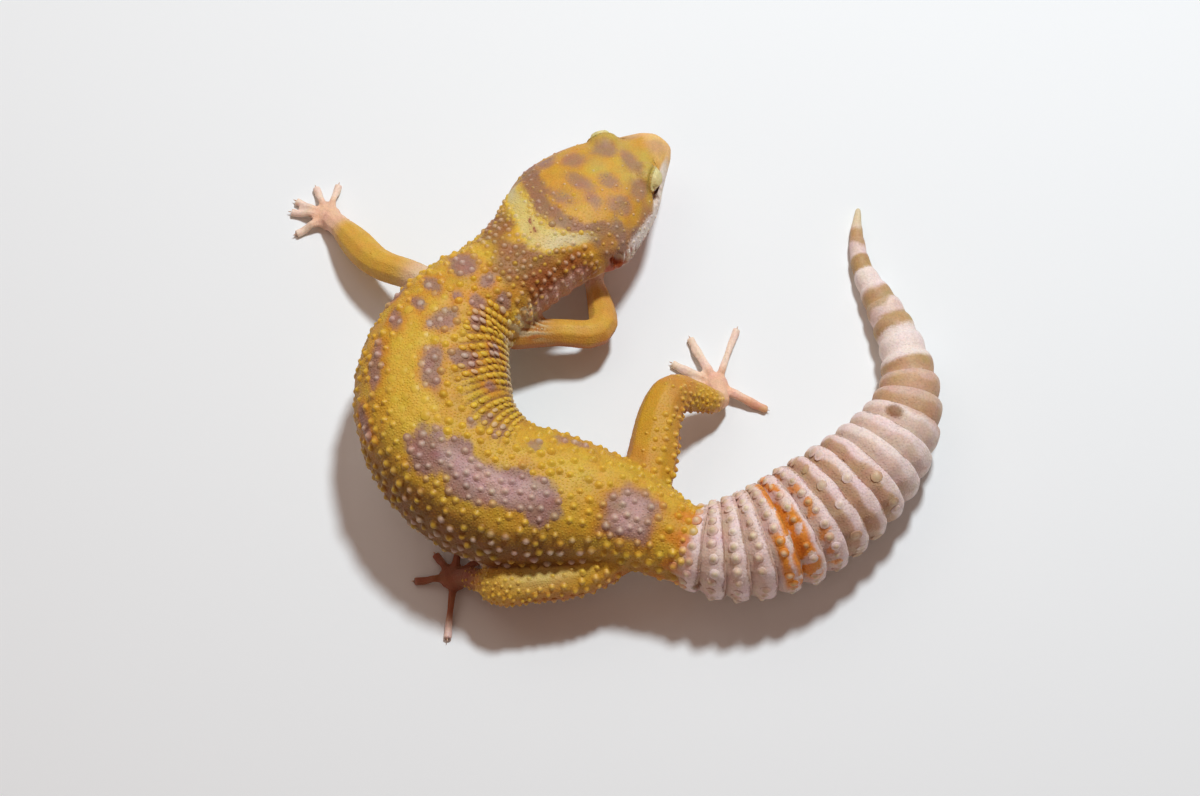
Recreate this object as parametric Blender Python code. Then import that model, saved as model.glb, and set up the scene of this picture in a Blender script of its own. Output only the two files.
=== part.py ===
"""Leopard gecko at life size, still, curled to its right on a level floor.

Lengths are in millimetres and MM turns them into metres. X runs to the viewer's right,
Y away from the viewer and Z up, with the floor at zero. The body, from snout to tail tip,
is one row of oval sections, parted into lengths by thin cuts. Each leg is a tapered tube
that starts in the body's side and ends in a palm with five digits.
"""

import math
from bisect import bisect_right

import bmesh
import bpy
from mathutils import Matrix, Vector

MM = 0.001
GAP = 0.3  # width of every cut between two pieces
ROUNDNESS = 2.25  # power of the body's oval sections: 2 is an ellipse

# The head is straight: its sections are given by their distance behind the snout.
SNOUT = (10.6, 43.2)
HEAD_HEADING = 46.0  # degrees from +X, looking along the snout
HEAD_ROLL = 9.0  # degrees that the crown leans to the animal's left
ROLL_HEIGHT = 9.5  # height of the line that the head rolls about
ROLL_FADE = (24.0, 46.0)  # the roll dies away between these distances from the snout
# distance, half width, crown height, height of the widest line, chin height
HEAD_SECTIONS = (
    (0.0, 2.0, 10.3, 8.9, 7.5),
    (0.8, 3.0, 11.3, 9.1, 6.9),
    (2.7, 4.2, 12.3, 9.2, 6.4),
    (5.0, 5.6, 13.3, 9.2, 5.9),
    (7.5, 7.2, 14.6, 9.2, 5.5),
    (10.0, 8.9, 15.9, 9.3, 5.1),
    (13.5, 10.5, 17.0, 9.5, 4.7),
    (17.5, 11.6, 17.9, 9.8, 4.5),
    (21.5, 12.1, 18.4, 10.2, 4.6),
    (25.0, 11.2, 18.8, 10.9, 5.0),
)
# Place of the middle line, half width, back, widest line, belly
TRUNK_SECTIONS = (
    (-10.6, 20.6, 9.0, 19.6, 12.2, 5.4),
    (-17.4, 14.2, 8.4, 21.2, 12.6, 5.0),
    (-23.3, 8.6, 10.2, 22.6, 12.8, 4.4),
    (-26.6, 0.6, 12.5, 23.3, 12.8, 3.8),
    (-26.8, -8.0, 13.1, 23.4, 12.8, 3.6),
    (-23.3, -15.6, 12.9, 23.2, 12.6, 3.6),
    (-16.4, -21.0, 12.5, 22.4, 12.2, 3.6),
    (-7.4, -22.5, 11.3, 20.8, 11.6, 3.6),
    (1.0, -24.1, 9.4, 19.2, 11.0, 3.6),
    (7.6, -26.5, 7.7, 17.7, 10.4, 3.6),
    (13.2, -29.2, 6.5, 16.4, 9.8, 3.5),
)
TAIL_SECTIONS = (
    (18.2, -30.0, 7.7, 16.4, 8.8, 1.8),
    (25.0, -28.9, 8.8, 16.8, 8.4, 0.6),
    (32.0, -25.6, 9.3, 16.9, 8.3, -0.1),
    (39.0, -20.4, 8.9, 16.3, 8.0, -0.2),
    (45.0, -14.4, 8.0, 15.0, 7.4, -0.2),
    (49.3, -7.7, 6.6, 12.9, 6.4, -0.2),
    (51.2, -0.5, 5.1, 10.5, 5.2, -0.2),
    (50.4, 7.0, 3.9, 8.2, 4.0, -0.2),
    (47.6, 15.0, 3.0, 6.2, 3.0, -0.2),
    (44.4, 22.5, 1.8, 4.1, 1.9, -0.2),
    (43.6, 29.0, 1.2, 2.8, 1.3, -0.15),
    (44.1, 34.6, 0.35, 1.2, 0.55, -0.05),
)
HEAD_STEP, TRUNK_STEP = 1.8, 4.0  # distance between the sections
HEAD_SIDES, TRUNK_SIDES, TAIL_SIDES = 22, 20, 14

WHORLS = 25  # rings of the tail
WHORL_EASE = 0.14  # share by which the rings in the middle are longer than the mean
WHORL_PROFILE = ((0.0, 0.935), (0.28, 1.0), (0.72, 1.04))  # place in a ring, swelling

# Each length of the body ends this far behind the snout. The hips end where the tail begins.
HEAD_LENGTH = 25.0
BODY_LENGTHS = (("neck", 37.0), ("shoulders", 56.0), ("trunk_front", 73.0), ("trunk_rear", 92.0))
TAIL_LENGTHS = (("tail_root", 5), ("tail_fat_part", 10), ("tail_middle", 15),
                ("tail_taper", 20), ("tail_tip", 25))  # last ring of each length

EYE_RADIUS = 2.6
EYE_PLACE = (9.0, 4.6, 12.2)  # behind the snout, out from the middle, up
LID_THICKNESS = 0.55
LID_OPENING = (2.3, 2.4, 1.15)  # half sizes of the slit: along, out, up
LID_OPENING_DROP = 0.5
EAR_PLACE = (22.3, 11.6, 11.4)
EAR_RADII = (0.9, 1.2, 1.5)
MOUTH_LINE = ((-2.0, 8.4), (4.0, 8.2), (12.0, 8.3), (17.5, 8.9), (19.6, 9.6))
JAW_REAR = ((20.6, 8.0), (21.2, 2.0))

# Limb: places and radii along its middle line, then the two joints as numbers in that row.
ARM_LEFT = ((-25.5, 13.6, 12.0, 3.0), (-31.2, 17.9, 9.9, 2.6), (-36.0, 20.8, 7.3, 2.6),
            (-38.2, 22.7, 6.2, 2.65), (-40.6, 25.8, 4.8, 2.55), (-43.6, 29.8, 2.9, 1.9),
            (-46.0, 32.6, 1.5, 1.4))
ARM_RIGHT = ((-14.4, 7.6, 9.6, 2.8), (-6.6, 8.8, 7.2, 2.35), (-1.4, 8.9, 6.4, 2.5),
             (0.5, 10.5, 5.6, 2.55), (0.2, 14.8, 4.2, 2.3), (-0.8, 19.4, 2.8, 1.7),
             (-1.2, 22.8, 1.4, 1.3))
LEG_RIGHT = ((7.4, -20.6, 10.2, 4.2), (8.8, -13.4, 10.8, 3.9), (10.0, -7.2, 11.2, 3.4),
             (11.9, -3.6, 10.6, 3.0), (15.6, -2.6, 7.2, 2.6), (19.8, -1.8, 3.1, 1.8),
             (19.5, 1.5, 1.5, 1.5))
LEG_LEFT = ((3.6, -31.0, 9.4, 3.2), (-3.0, -34.4, 8.8, 3.1), (-10.8, -35.6, 8.6, 3.1),
            (-16.2, -35.6, 8.2, 2.9), (-19.2, -34.0, 5.8, 2.2), (-21.4, -32.6, 3.0, 1.7),
            (-23.6, -32.2, 1.4, 1.4))
FORE_JOINTS = (2.5, 5.0)
HIND_JOINTS = (3.2, 4.8)
LIMB_STEP, LIMB_SIDES = 1.7, 9

# Digit: heading in degrees, length from the palm's middle, radius; from the thumb outwards.
HAND_LEFT = ((78, 6.8, 0.68), (113, 6.7, 0.72), (150, 7.0, 0.72), (169, 7.0, 0.72),
             (207, 6.6, 0.76))
HAND_RIGHT = ((150, 6.2, 0.68), (118, 6.7, 0.72), (88, 7.0, 0.72), (61, 6.8, 0.72),
              (29, 6.0, 0.76))
FOOT_RIGHT = ((172, 7.4, 0.8), (149, 9.0, 0.9), (116, 10.3, 0.92), (72, 11.5, 0.72),
              (-25, 9.3, 0.9))
FOOT_LEFT = ((40, 6.8, 0.75), (84, 7.6, 0.8), (127, 5.8, 0.8), (182, 6.9, 0.75),
             (-96, 10.4, 0.72))
PALM_RADII = (2.3, 2.0, 1.25)
FOOT_PALM_RADII = (2.7, 2.2, 1.45)
PALM_SEGMENTS, PALM_RINGS = 10, 6
DIGIT_SIDES = 6
# Share of a digit's length, height of its middle, share of its radius
DIGIT_PROFILE = ((0.05, 1.1, 1.15), (0.34, 1.35, 1.05), (0.55, 1.3, 0.9), (0.8, 0.72, 1.08),
                 (0.93, 0.55, 0.85), (1.0, 0.4, 0.45))
CLAW_LENGTH, CLAW_RADIUS = 0.9, 0.22


def clear_scene():
    for old in list(bpy.data.objects):
        bpy.data.objects.remove(old)


def skin_material(name, colour, roughness):
    material = bpy.data.materials.new(name)
    material.use_nodes = True
    shader = material.node_tree.nodes["Principled BSDF"]
    shader.inputs["Base Color"].default_value = (*colour, 1)
    shader.inputs["Roughness"].default_value = roughness
    shader.inputs["Metallic"].default_value = 0.0
    material.diffuse_color = (*colour, 1)
    return material


def add_object(name, bm, material):
    """Closes a bmesh into an object whose faces point out."""
    bmesh.ops.recalc_face_normals(bm, faces=bm.faces)
    mesh = bpy.data.meshes.new(name)
    bm.to_mesh(mesh)
    bm.free()
    mesh.shade_smooth()
    made = bpy.data.objects.new(name, mesh)
    made.data.materials.append(material)
    bpy.context.scene.collection.objects.link(made)
    return made


def as_helper(helper):
    helper.hide_render = True
    helper.display_type = "WIRE"
    return helper


def boolean(target, helper, operation="DIFFERENCE"):
    modifier = target.modifiers.new(helper.name, "BOOLEAN")
    modifier.operation = operation
    modifier.solver = "EXACT"
    modifier.object = helper


def bake_modifiers(target):
    """Replaces an object's mesh with its evaluated one and returns it as a bmesh."""
    bpy.context.view_layer.update()
    graph = bpy.context.evaluated_depsgraph_get()
    bm = bmesh.new()
    bm.from_mesh(bpy.data.meshes.new_from_object(target.evaluated_get(graph)))
    target.modifiers.clear()
    return bm


def curve_at(knots, places, at):
    """A smooth curve through knots that stand at the given places."""
    i = min(max(bisect_right(places, at) - 1, 0), len(knots) - 2)
    span = places[i + 1] - places[i]
    t = (at - places[i]) / span

    def slope(k):
        a, b = max(k - 1, 0), min(k + 1, len(knots) - 1)
        return [(y - x) / (places[b] - places[a]) for x, y in zip(knots[a], knots[b])]

    h = (2 * t**3 - 3 * t**2 + 1, t**3 - 2 * t**2 + t, 3 * t**2 - 2 * t**3, t**3 - t**2)
    return [
        h[0] * a + h[1] * span * u + h[2] * b + h[3] * span * v
        for a, u, b, v in zip(knots[i], slope(i), knots[i + 1], slope(i + 1))
    ]


def running_length(points):
    total = [0.0]
    for a, b in zip(points, points[1:]):
        total.append(total[-1] + (Vector(b) - Vector(a)).length)
    return total


def rolled(at, out, up):
    """A section's point, out to the left and up, after the head's roll."""
    fade = (at - ROLL_FADE[0]) / (ROLL_FADE[1] - ROLL_FADE[0])
    fade = min(max(fade, 0.0), 1.0)
    angle = math.radians(HEAD_ROLL) * (1 - fade * fade * (3 - 2 * fade))
    rise = up - ROLL_HEIGHT
    return (
        out * math.cos(angle) + rise * math.sin(angle),
        ROLL_HEIGHT + rise * math.cos(angle) - out * math.sin(angle),
    )


def head_point(back, out, up):
    """World place of a point of the head: behind the snout, left of its middle, up."""
    turn = math.radians(HEAD_HEADING)
    ahead = Vector((math.cos(turn), math.sin(turn)))
    out, up = rolled(back, out, up)
    place = Vector(SNOUT) - back * ahead + out * Vector((-ahead.y, ahead.x))
    return Vector((*place, up))


def spine_knots():
    head = [(*head_point(row[0], 0, ROLL_HEIGHT).xy, *row[1:]) for row in HEAD_SECTIONS]
    return head + list(TRUNK_SECTIONS) + list(TAIL_SECTIONS)


SPINE = spine_knots()
SPINE_PLACES = running_length([knot[:2] for knot in SPINE])
TAIL_START = SPINE_PLACES[len(HEAD_SECTIONS) + len(TRUNK_SECTIONS) - 1]
TAIL_LENGTH = SPINE_PLACES[-1] - TAIL_START


def signed_power(value, power):
    return math.copysign(abs(value) ** power, value)


def body_section(at, sides, swell=1.0, grow=0.0):
    """One upright oval across the spine, at a distance from the snout."""
    x, y, width, top, middle, low = curve_at(SPINE, SPINE_PLACES, at)
    ahead = Vector(curve_at(SPINE, SPINE_PLACES, at + 0.2)[:2]) - Vector(
        curve_at(SPINE, SPINE_PLACES, at - 0.2)[:2]
    )
    across = Vector((ahead.y, -ahead.x)).normalized()
    points = []
    for k in range(sides):
        angle = 2 * math.pi * (k + 0.5) / sides
        out = signed_power(math.cos(angle), 2 / ROUNDNESS) * (width * swell + grow)
        reach = (top if angle < math.pi else low) - middle
        up = abs(signed_power(math.sin(angle), 2 / ROUNDNESS))
        z = middle + up * (reach * swell + math.copysign(grow, reach))
        out, z = rolled(at, out, z)
        points.append(Vector((*(Vector((x, y)) + across * out), max(z, 0.0))) * MM)
    return points


def loft(bm, sections):
    """Extrudes a cap from section to section, which leaves a closed body."""
    sides = len(sections[0])
    side = bm.verts.layers.int.get("side") or bm.verts.layers.int.new("side")
    ring = bmesh.ops.create_circle(bm, cap_ends=True, segments=sides, radius=MM)["verts"]
    for k, vert in enumerate(ring):
        vert[side] = k
        vert.co = sections[0][k]
    first = cap = ring[0].link_faces[0]
    for section in sections[1:]:
        made = bmesh.ops.extrude_face_region(bm, geom=[cap])["geom"]
        if cap != first:
            bmesh.ops.delete(bm, geom=[cap], context="FACES_ONLY")
        cap = next(item for item in made if isinstance(item, bmesh.types.BMFace))
        for vert in cap.verts:
            vert.co = section[vert[side]]


def even_steps(start, end, step):
    count = max(round((end - start) / step), 1)
    return [start + (end - start) * k / count for k in range(count + 1)]


def body_length(name, start, end, step, sides, material):
    bm = bmesh.new()
    loft(bm, [body_section(at, sides) for at in even_steps(start, end, step)])
    return add_object(name, bm, material)


def whorl_edge(number):
    """Distance from the snout at which a ring of the tail begins."""
    share = number / WHORLS
    eased = share - WHORL_EASE * math.sin(2 * math.pi * share) / (2 * math.pi)
    return TAIL_START + TAIL_LENGTH * eased


def tail_length(name, first, last, material):
    """A run of rings, each a shallow groove and a swelling behind it."""
    sections = []
    for number in range(first, last):
        start, end = whorl_edge(number), whorl_edge(number + 1)
        for place, swell in WHORL_PROFILE:
            at = start + (end - start) * place
            if not sections:
                at += GAP / 2
            sections.append(body_section(at, TAIL_SIDES, swell))
    end = whorl_edge(last) - (GAP / 2 if last < WHORLS else 0.0)
    sections.append(body_section(end, TAIL_SIDES, WHORL_PROFILE[0][1]))
    bm = bmesh.new()
    loft(bm, sections)
    return add_object(name, bm, material)


def ellipsoid(name, centre, radii, material, turn=0.0, segments=12, rings=8):
    bm = bmesh.new()
    shape = Matrix.Diagonal((*(Vector(radii) * MM), 1))
    place = Matrix.Translation(Vector(centre) * MM) @ Matrix.Rotation(math.radians(turn), 4, "Z")
    bmesh.ops.create_uvsphere(
        bm, u_segments=segments, v_segments=rings, radius=1, matrix=place @ shape
    )
    return add_object(name, bm, material)


def mouth_cutter(material):
    """A thin sheet along the mouth line and down behind the jaw, across the whole head."""
    line = [Vector(point) for point in MOUTH_LINE + JAW_REAR]
    bm = bmesh.new()
    upper, lower = [], []
    for k, point in enumerate(line):
        run = line[min(k + 1, len(line) - 1)] - line[max(k - 1, 0)]
        aside = Vector((-run.y, run.x)).normalized() * GAP / 2
        upper.append(point + aside)
        lower.append(point - aside)
    width = 2 * max(row[1] for row in HEAD_SECTIONS)
    outline = [bm.verts.new(head_point(p.x, -width, p.y) * MM) for p in upper + lower[::-1]]
    side = bm.faces.new(outline)
    made = bmesh.ops.extrude_face_region(bm, geom=[side])["geom"]
    across = (head_point(0, width, 0) - head_point(0, -width, 0)) * MM
    bmesh.ops.translate(
        bm, vec=across, verts=[v for v in made if isinstance(v, bmesh.types.BMVert)]
    )
    return as_helper(add_object("mouth_cutter", bm, material))


def split_loose(bm):
    """The separate closed bodies of a bmesh, as lists of faces."""
    left, bodies = set(bm.faces), []
    while left:
        stack, body = [next(iter(left))], []
        left.discard(stack[0])
        while stack:
            face = stack.pop()
            body.append(face)
            for edge in face.edges:
                for other in edge.link_faces:
                    if other in left:
                        left.discard(other)
                        stack.append(other)
        bodies.append(body)
    return bodies


def keep_body(bm, body):
    """A copy of a bmesh with only one of its closed bodies."""
    numbers = {face.index for face in body}
    copy = bm.copy()
    others = [face for face in copy.faces if face.index not in numbers]
    bmesh.ops.delete(copy, geom=others, context="FACES")
    return copy


def head_and_jaw(flesh):
    """The skull with its brow bulges, sockets and ears, and the jaw cut from it."""
    head = body_length("head_whole", 0.0, HEAD_LENGTH - GAP / 2, HEAD_STEP, HEAD_SIDES, flesh)
    back, out, up = EYE_PLACE
    for name, side in (("left", 1), ("right", -1)):
        centre = head_point(back, side * out, up)
        lid = EYE_RADIUS + GAP + LID_THICKNESS
        brow = as_helper(ellipsoid(f"brow_{name}", centre, (lid,) * 3, flesh))
        boolean(head, brow, "UNION")
    for name, side in (("left", 1), ("right", -1)):
        centre = head_point(back, side * out, up)
        socket = ellipsoid(f"socket_{name}", centre, (EYE_RADIUS + GAP,) * 3, flesh)
        slit_place = head_point(back, side * (out + EYE_RADIUS), up - LID_OPENING_DROP)
        slit = ellipsoid(f"slit_{name}", slit_place, LID_OPENING, flesh, HEAD_HEADING)
        ear_place = head_point(EAR_PLACE[0], side * EAR_PLACE[1], EAR_PLACE[2])
        ear = ellipsoid(f"ear_{name}", ear_place, EAR_RADII, flesh, HEAD_HEADING, 10, 6)
        for helper in (socket, slit, ear):
            boolean(head, as_helper(helper))
    boolean(head, mouth_cutter(flesh))
    whole = bake_modifiers(head)
    whole.faces.ensure_lookup_table()
    whole.faces.index_update()
    bodies = sorted(split_loose(whole), key=len)
    made = []
    for name, body in (("lower_jaw", bodies[-2]), ("head", bodies[-1])):
        made.append(add_object(name, keep_body(whole, body), flesh))
    whole.free()
    bpy.data.objects.remove(head)
    return made


def eyes(glossy):
    back, out, up = EYE_PLACE
    return [
        ellipsoid(f"eye_{name}", head_point(back, side * out, up), (EYE_RADIUS,) * 3, glossy)
        for name, side in (("left", 1), ("right", -1))
    ]


def tube_sections(knots, places, start, end, step, sides):
    """Round sections along a limb, carried round its bends without a twist."""
    sections = []
    frame = None
    for at in even_steps(start, end, step):
        *place, radius = curve_at(knots, places, at)
        nearby = [curve_at(knots, places, at + d)[:3] for d in (-0.1, 0.1)]
        ahead = (Vector(nearby[1]) - Vector(nearby[0])).normalized()
        if frame is None:
            frame = ahead.to_track_quat("Z", "Y").to_matrix()
        else:
            frame = (frame.col[2].rotation_difference(ahead)).to_matrix() @ frame
        ring = []
        for k in range(sides):
            angle = 2 * math.pi * k / sides
            spoke = frame @ Vector((math.cos(angle), math.sin(angle), 0))
            ring.append((Vector(place) + spoke * radius) * MM)
        sections.append(ring)
    return sections


def limb_length(name, knots, start, end, material, grow=0.0):
    """One length of a limb between two of its knots, given as numbers in their row."""
    places = running_length([knot[:3] for knot in knots])
    knots = [(*place, radius + grow) for *place, radius in knots]

    def place(number):
        k = min(int(number), len(places) - 2)
        return places[k] + (number - k) * (places[k + 1] - places[k])

    first = place(start) + (GAP / 2 if start else 0.0)
    last = place(end) - ((GAP - grow) / 2 if end < len(knots) - 1 else 0.0)
    bm = bmesh.new()
    loft(bm, tube_sections(knots, places, first, last, LIMB_STEP, LIMB_SIDES))
    return add_object(name, bm, material)


def digit(name, palm, heading, length, radius, material):
    """A finger or toe: arched from the palm, with a plump pad and a small claw."""
    turn = math.radians(heading)
    ahead = Vector((math.cos(turn), math.sin(turn), 0))
    aside = Vector((-ahead.y, ahead.x, 0))
    reach = length - CLAW_LENGTH
    rows = [(reach * share, up, radius * part) for share, up, part in DIGIT_PROFILE]
    rows += [(reach + 0.1, 0.42, CLAW_RADIUS), (length, 0.2, CLAW_RADIUS / 3)]
    sections = []
    for along, up, thick in rows:
        middle = Vector((palm[0], palm[1], up)) + ahead * along
        ring = []
        for k in range(DIGIT_SIDES):
            angle = 2 * math.pi * (k + 0.5) / DIGIT_SIDES
            spoke = aside * math.cos(angle) + Vector((0, 0, 1)) * math.sin(angle)
            ring.append((middle + spoke * thick) * MM)
        sections.append(ring)
    bm = bmesh.new()
    loft(bm, sections)
    return as_helper(add_object(name, bm, material))


def limb_envelope(name, knots, start, end, material):
    """A length of a limb grown by the width of a cut, to trim the next length with."""
    return as_helper(limb_length(name, knots, start, end, material, grow=GAP))


def extremity(name, knots, joint, digits, palm_radii, limb_above, material):
    """A hand or foot: wrist, palm and digits as one body that lies flat on the floor."""
    palm = Vector(knots[-1][:3])
    made = limb_length(name, knots, joint, len(knots) - 1, material)
    ahead = palm - Vector(knots[-2][:3])
    turn = math.degrees(math.atan2(ahead.y, ahead.x))
    centre = (palm.x, palm.y, palm_radii[2] - 0.1)
    sole = ellipsoid(
        f"{name}_palm", centre, palm_radii, material, turn, PALM_SEGMENTS, PALM_RINGS
    )
    boolean(made, as_helper(sole), "UNION")
    for number, (heading, length, radius) in enumerate(digits, 1):
        helper = digit(f"{name}_digit_{number}", palm, heading, length, radius, material)
        boolean(made, helper, "UNION")
    boolean(made, limb_above)
    whole = bake_modifiers(made)
    bmesh.ops.triangulate(whole, faces=whole.faces)
    for vert in whole.verts:
        vert.co.z = max(vert.co.z, 0.0)
    bmesh.ops.dissolve_degenerate(whole, dist=0.01 * MM, edges=whole.edges)
    bpy.data.objects.remove(made)
    return add_object(name, whole, material)


def limb(names, knots, joints, digits, palm_radii, body, materials):
    """The upper length, cut round the body's side, the lower length and the extremity."""
    flesh = materials["flesh"]
    upper = limb_length(names[0], knots, 0, joints[0], flesh)
    lower = limb_length(names[1], knots, *joints, flesh)
    boolean(upper, body)
    boolean(lower, body)
    boolean(lower, limb_envelope(f"{names[0]}_envelope", knots, 0, joints[0], flesh))
    above = limb_envelope(f"{names[1]}_envelope", knots, *joints, flesh)
    end = extremity(names[2], knots, joints[1], digits, palm_radii, above, materials["pale"])
    return [upper, lower, end]


def body_envelope(flesh):
    """The trunk grown by the width of a cut, to trim the limbs' roots with."""
    bm = bmesh.new()
    steps = even_steps(HEAD_LENGTH - 5, TAIL_START + 8, TRUNK_STEP / 2)
    loft(bm, [body_section(at, TRUNK_SIDES, grow=GAP) for at in steps])
    return as_helper(add_object("body_envelope", bm, flesh))


def centre_on_floor(nodes):
    """Moves every object so that the origin is below the middle of the model's box."""
    bpy.context.view_layer.update()
    graph = bpy.context.evaluated_depsgraph_get()
    corners = []
    for node in nodes:
        evaluated = node.evaluated_get(graph)
        mesh = evaluated.to_mesh()
        corners += [v.co.xy.copy() for v in mesh.vertices]
        evaluated.to_mesh_clear()
    middle = [(min(c[i] for c in corners) + max(c[i] for c in corners)) / 2 for i in (0, 1)]
    for item in bpy.data.objects:
        item.data.transform(Matrix.Translation((-middle[0], -middle[1], 0)))
    print("moved by", [round(-m / MM, 3) for m in middle])


def build():
    clear_scene()
    materials = {
        "flesh": skin_material("yellow_scaled_skin", (0.66, 0.38, 0.05), 0.6),
        "pale": skin_material("pale_toe_skin", (0.78, 0.52, 0.42), 0.55),
        "tail": skin_material("ringed_tail_skin", (0.70, 0.52, 0.46), 0.6),
        "eye": skin_material("wet_eye", (0.30, 0.10, 0.05), 0.15),
    }
    nodes = head_and_jaw(materials["flesh"]) + eyes(materials["eye"])
    start = HEAD_LENGTH
    for name, end in BODY_LENGTHS + (("hips", whorl_edge(0)),):
        nodes.append(
            body_length(name, start + GAP / 2, end - GAP / 2, TRUNK_STEP, TRUNK_SIDES,
                        materials["flesh"])
        )
        start = end
    first = 0
    for name, last in TAIL_LENGTHS:
        nodes.append(tail_length(name, first, last, materials["tail"]))
        first = last
    body = body_envelope(materials["flesh"])
    limbs = (
        (("upper_arm_left", "forearm_left", "hand_left"), ARM_LEFT, FORE_JOINTS, HAND_LEFT,
         PALM_RADII),
        (("upper_arm_right", "forearm_right", "hand_right"), ARM_RIGHT, FORE_JOINTS,
         HAND_RIGHT, PALM_RADII),
        (("thigh_left", "shin_left", "foot_left"), LEG_LEFT, HIND_JOINTS, FOOT_LEFT,
         FOOT_PALM_RADII),
        (("thigh_right", "shin_right", "foot_right"), LEG_RIGHT, HIND_JOINTS, FOOT_RIGHT,
         FOOT_PALM_RADII),
    )
    for limb_values in limbs:
        nodes += limb(*limb_values, body, materials)
    centre_on_floor(nodes)


build()
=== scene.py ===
# An adult leopard gecko of a yellow albino colour form, still, curled on a pale floor.
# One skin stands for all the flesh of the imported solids. Warts, lids and claws sit on it.

import math
import random

import bmesh
import bpy
import numpy as np
from mathutils import Matrix, Vector
from mathutils.bvhtree import BVHTree
from mathutils.kdtree import KDTree


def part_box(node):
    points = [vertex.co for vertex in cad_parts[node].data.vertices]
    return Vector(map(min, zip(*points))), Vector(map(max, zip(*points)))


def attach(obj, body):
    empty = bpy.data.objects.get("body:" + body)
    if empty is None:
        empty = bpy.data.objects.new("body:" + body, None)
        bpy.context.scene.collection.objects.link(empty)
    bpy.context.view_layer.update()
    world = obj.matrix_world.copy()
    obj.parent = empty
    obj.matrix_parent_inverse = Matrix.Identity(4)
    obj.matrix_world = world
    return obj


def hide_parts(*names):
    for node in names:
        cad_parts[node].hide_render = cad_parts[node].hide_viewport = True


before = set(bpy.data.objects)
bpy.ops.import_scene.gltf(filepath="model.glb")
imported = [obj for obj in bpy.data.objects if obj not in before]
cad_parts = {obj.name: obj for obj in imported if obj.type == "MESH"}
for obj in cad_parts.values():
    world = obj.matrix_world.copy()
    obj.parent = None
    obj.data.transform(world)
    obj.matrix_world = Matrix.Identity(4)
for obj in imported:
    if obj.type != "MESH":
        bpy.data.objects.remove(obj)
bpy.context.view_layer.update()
mm = 0.001
print("frame loaded")

# ---- The body's plan: the line of the spine and the oval sections along it, in millimetres

bodyPlan = {
    "shift": (-1.64, -0.986),  # from the drawing's origin to the frame's
    "snout": (10.6, 43.2),
    "heading": 46.0,
    "roll": 9.0,  # the crown leans to the animal's left
    "rollHeight": 9.5,
    "rollFade": (24.0, 46.0),
    # behind the snout, half width, back, widest line, underside
    "head": [(0.0, 2.0, 10.3, 8.9, 7.5), (0.8, 3.0, 11.3, 9.1, 6.9), (2.7, 4.2, 12.3, 9.2, 6.4),
             (5.0, 5.6, 13.3, 9.2, 5.9), (7.5, 7.2, 14.6, 9.2, 5.5), (10.0, 8.9, 15.9, 9.3, 5.1),
             (13.5, 10.5, 17.0, 9.5, 4.7), (17.5, 11.6, 17.9, 9.8, 4.5),
             (21.5, 12.1, 18.4, 10.2, 4.6), (25.0, 11.2, 18.8, 10.9, 5.0)],
    # place of the middle line, half width, back, widest line, underside
    "trunk": [(-10.6, 20.6, 9.0, 19.6, 12.2, 5.4), (-17.4, 14.2, 8.4, 21.2, 12.6, 5.0),
              (-23.3, 8.6, 10.2, 22.6, 12.8, 4.4), (-26.6, 0.6, 12.5, 23.3, 12.8, 3.8),
              (-26.8, -8.0, 13.1, 23.4, 12.8, 3.6), (-23.3, -15.6, 12.9, 23.2, 12.6, 3.6),
              (-16.4, -21.0, 12.5, 22.4, 12.2, 3.6), (-7.4, -22.5, 11.3, 20.8, 11.6, 3.6),
              (1.0, -24.1, 9.4, 19.2, 11.0, 3.6), (7.6, -26.5, 7.7, 17.7, 10.4, 3.6),
              (13.2, -29.2, 6.5, 16.4, 9.8, 3.5)],
    "tail": [(18.2, -30.0, 7.7, 16.4, 8.8, 1.8), (25.0, -28.9, 8.8, 16.8, 8.4, 0.6),
             (32.0, -25.6, 9.3, 16.9, 8.3, -0.1), (39.0, -20.4, 8.9, 16.3, 8.0, -0.2),
             (45.0, -14.4, 8.0, 15.0, 7.4, -0.2), (49.3, -7.7, 6.6, 12.9, 6.4, -0.2),
             (51.2, -0.5, 5.1, 10.5, 5.2, -0.2), (50.4, 7.0, 3.9, 8.2, 4.0, -0.2),
             (47.6, 15.0, 3.0, 6.2, 3.0, -0.2), (44.4, 22.5, 1.8, 4.1, 1.9, -0.2),
             (43.6, 29.0, 1.2, 2.8, 1.3, -0.15), (44.1, 34.6, 0.35, 1.2, 0.55, -0.05)],
    "rings": 25,
    "ringEase": 0.14,
    "spineStep": 0.2,
}
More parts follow.
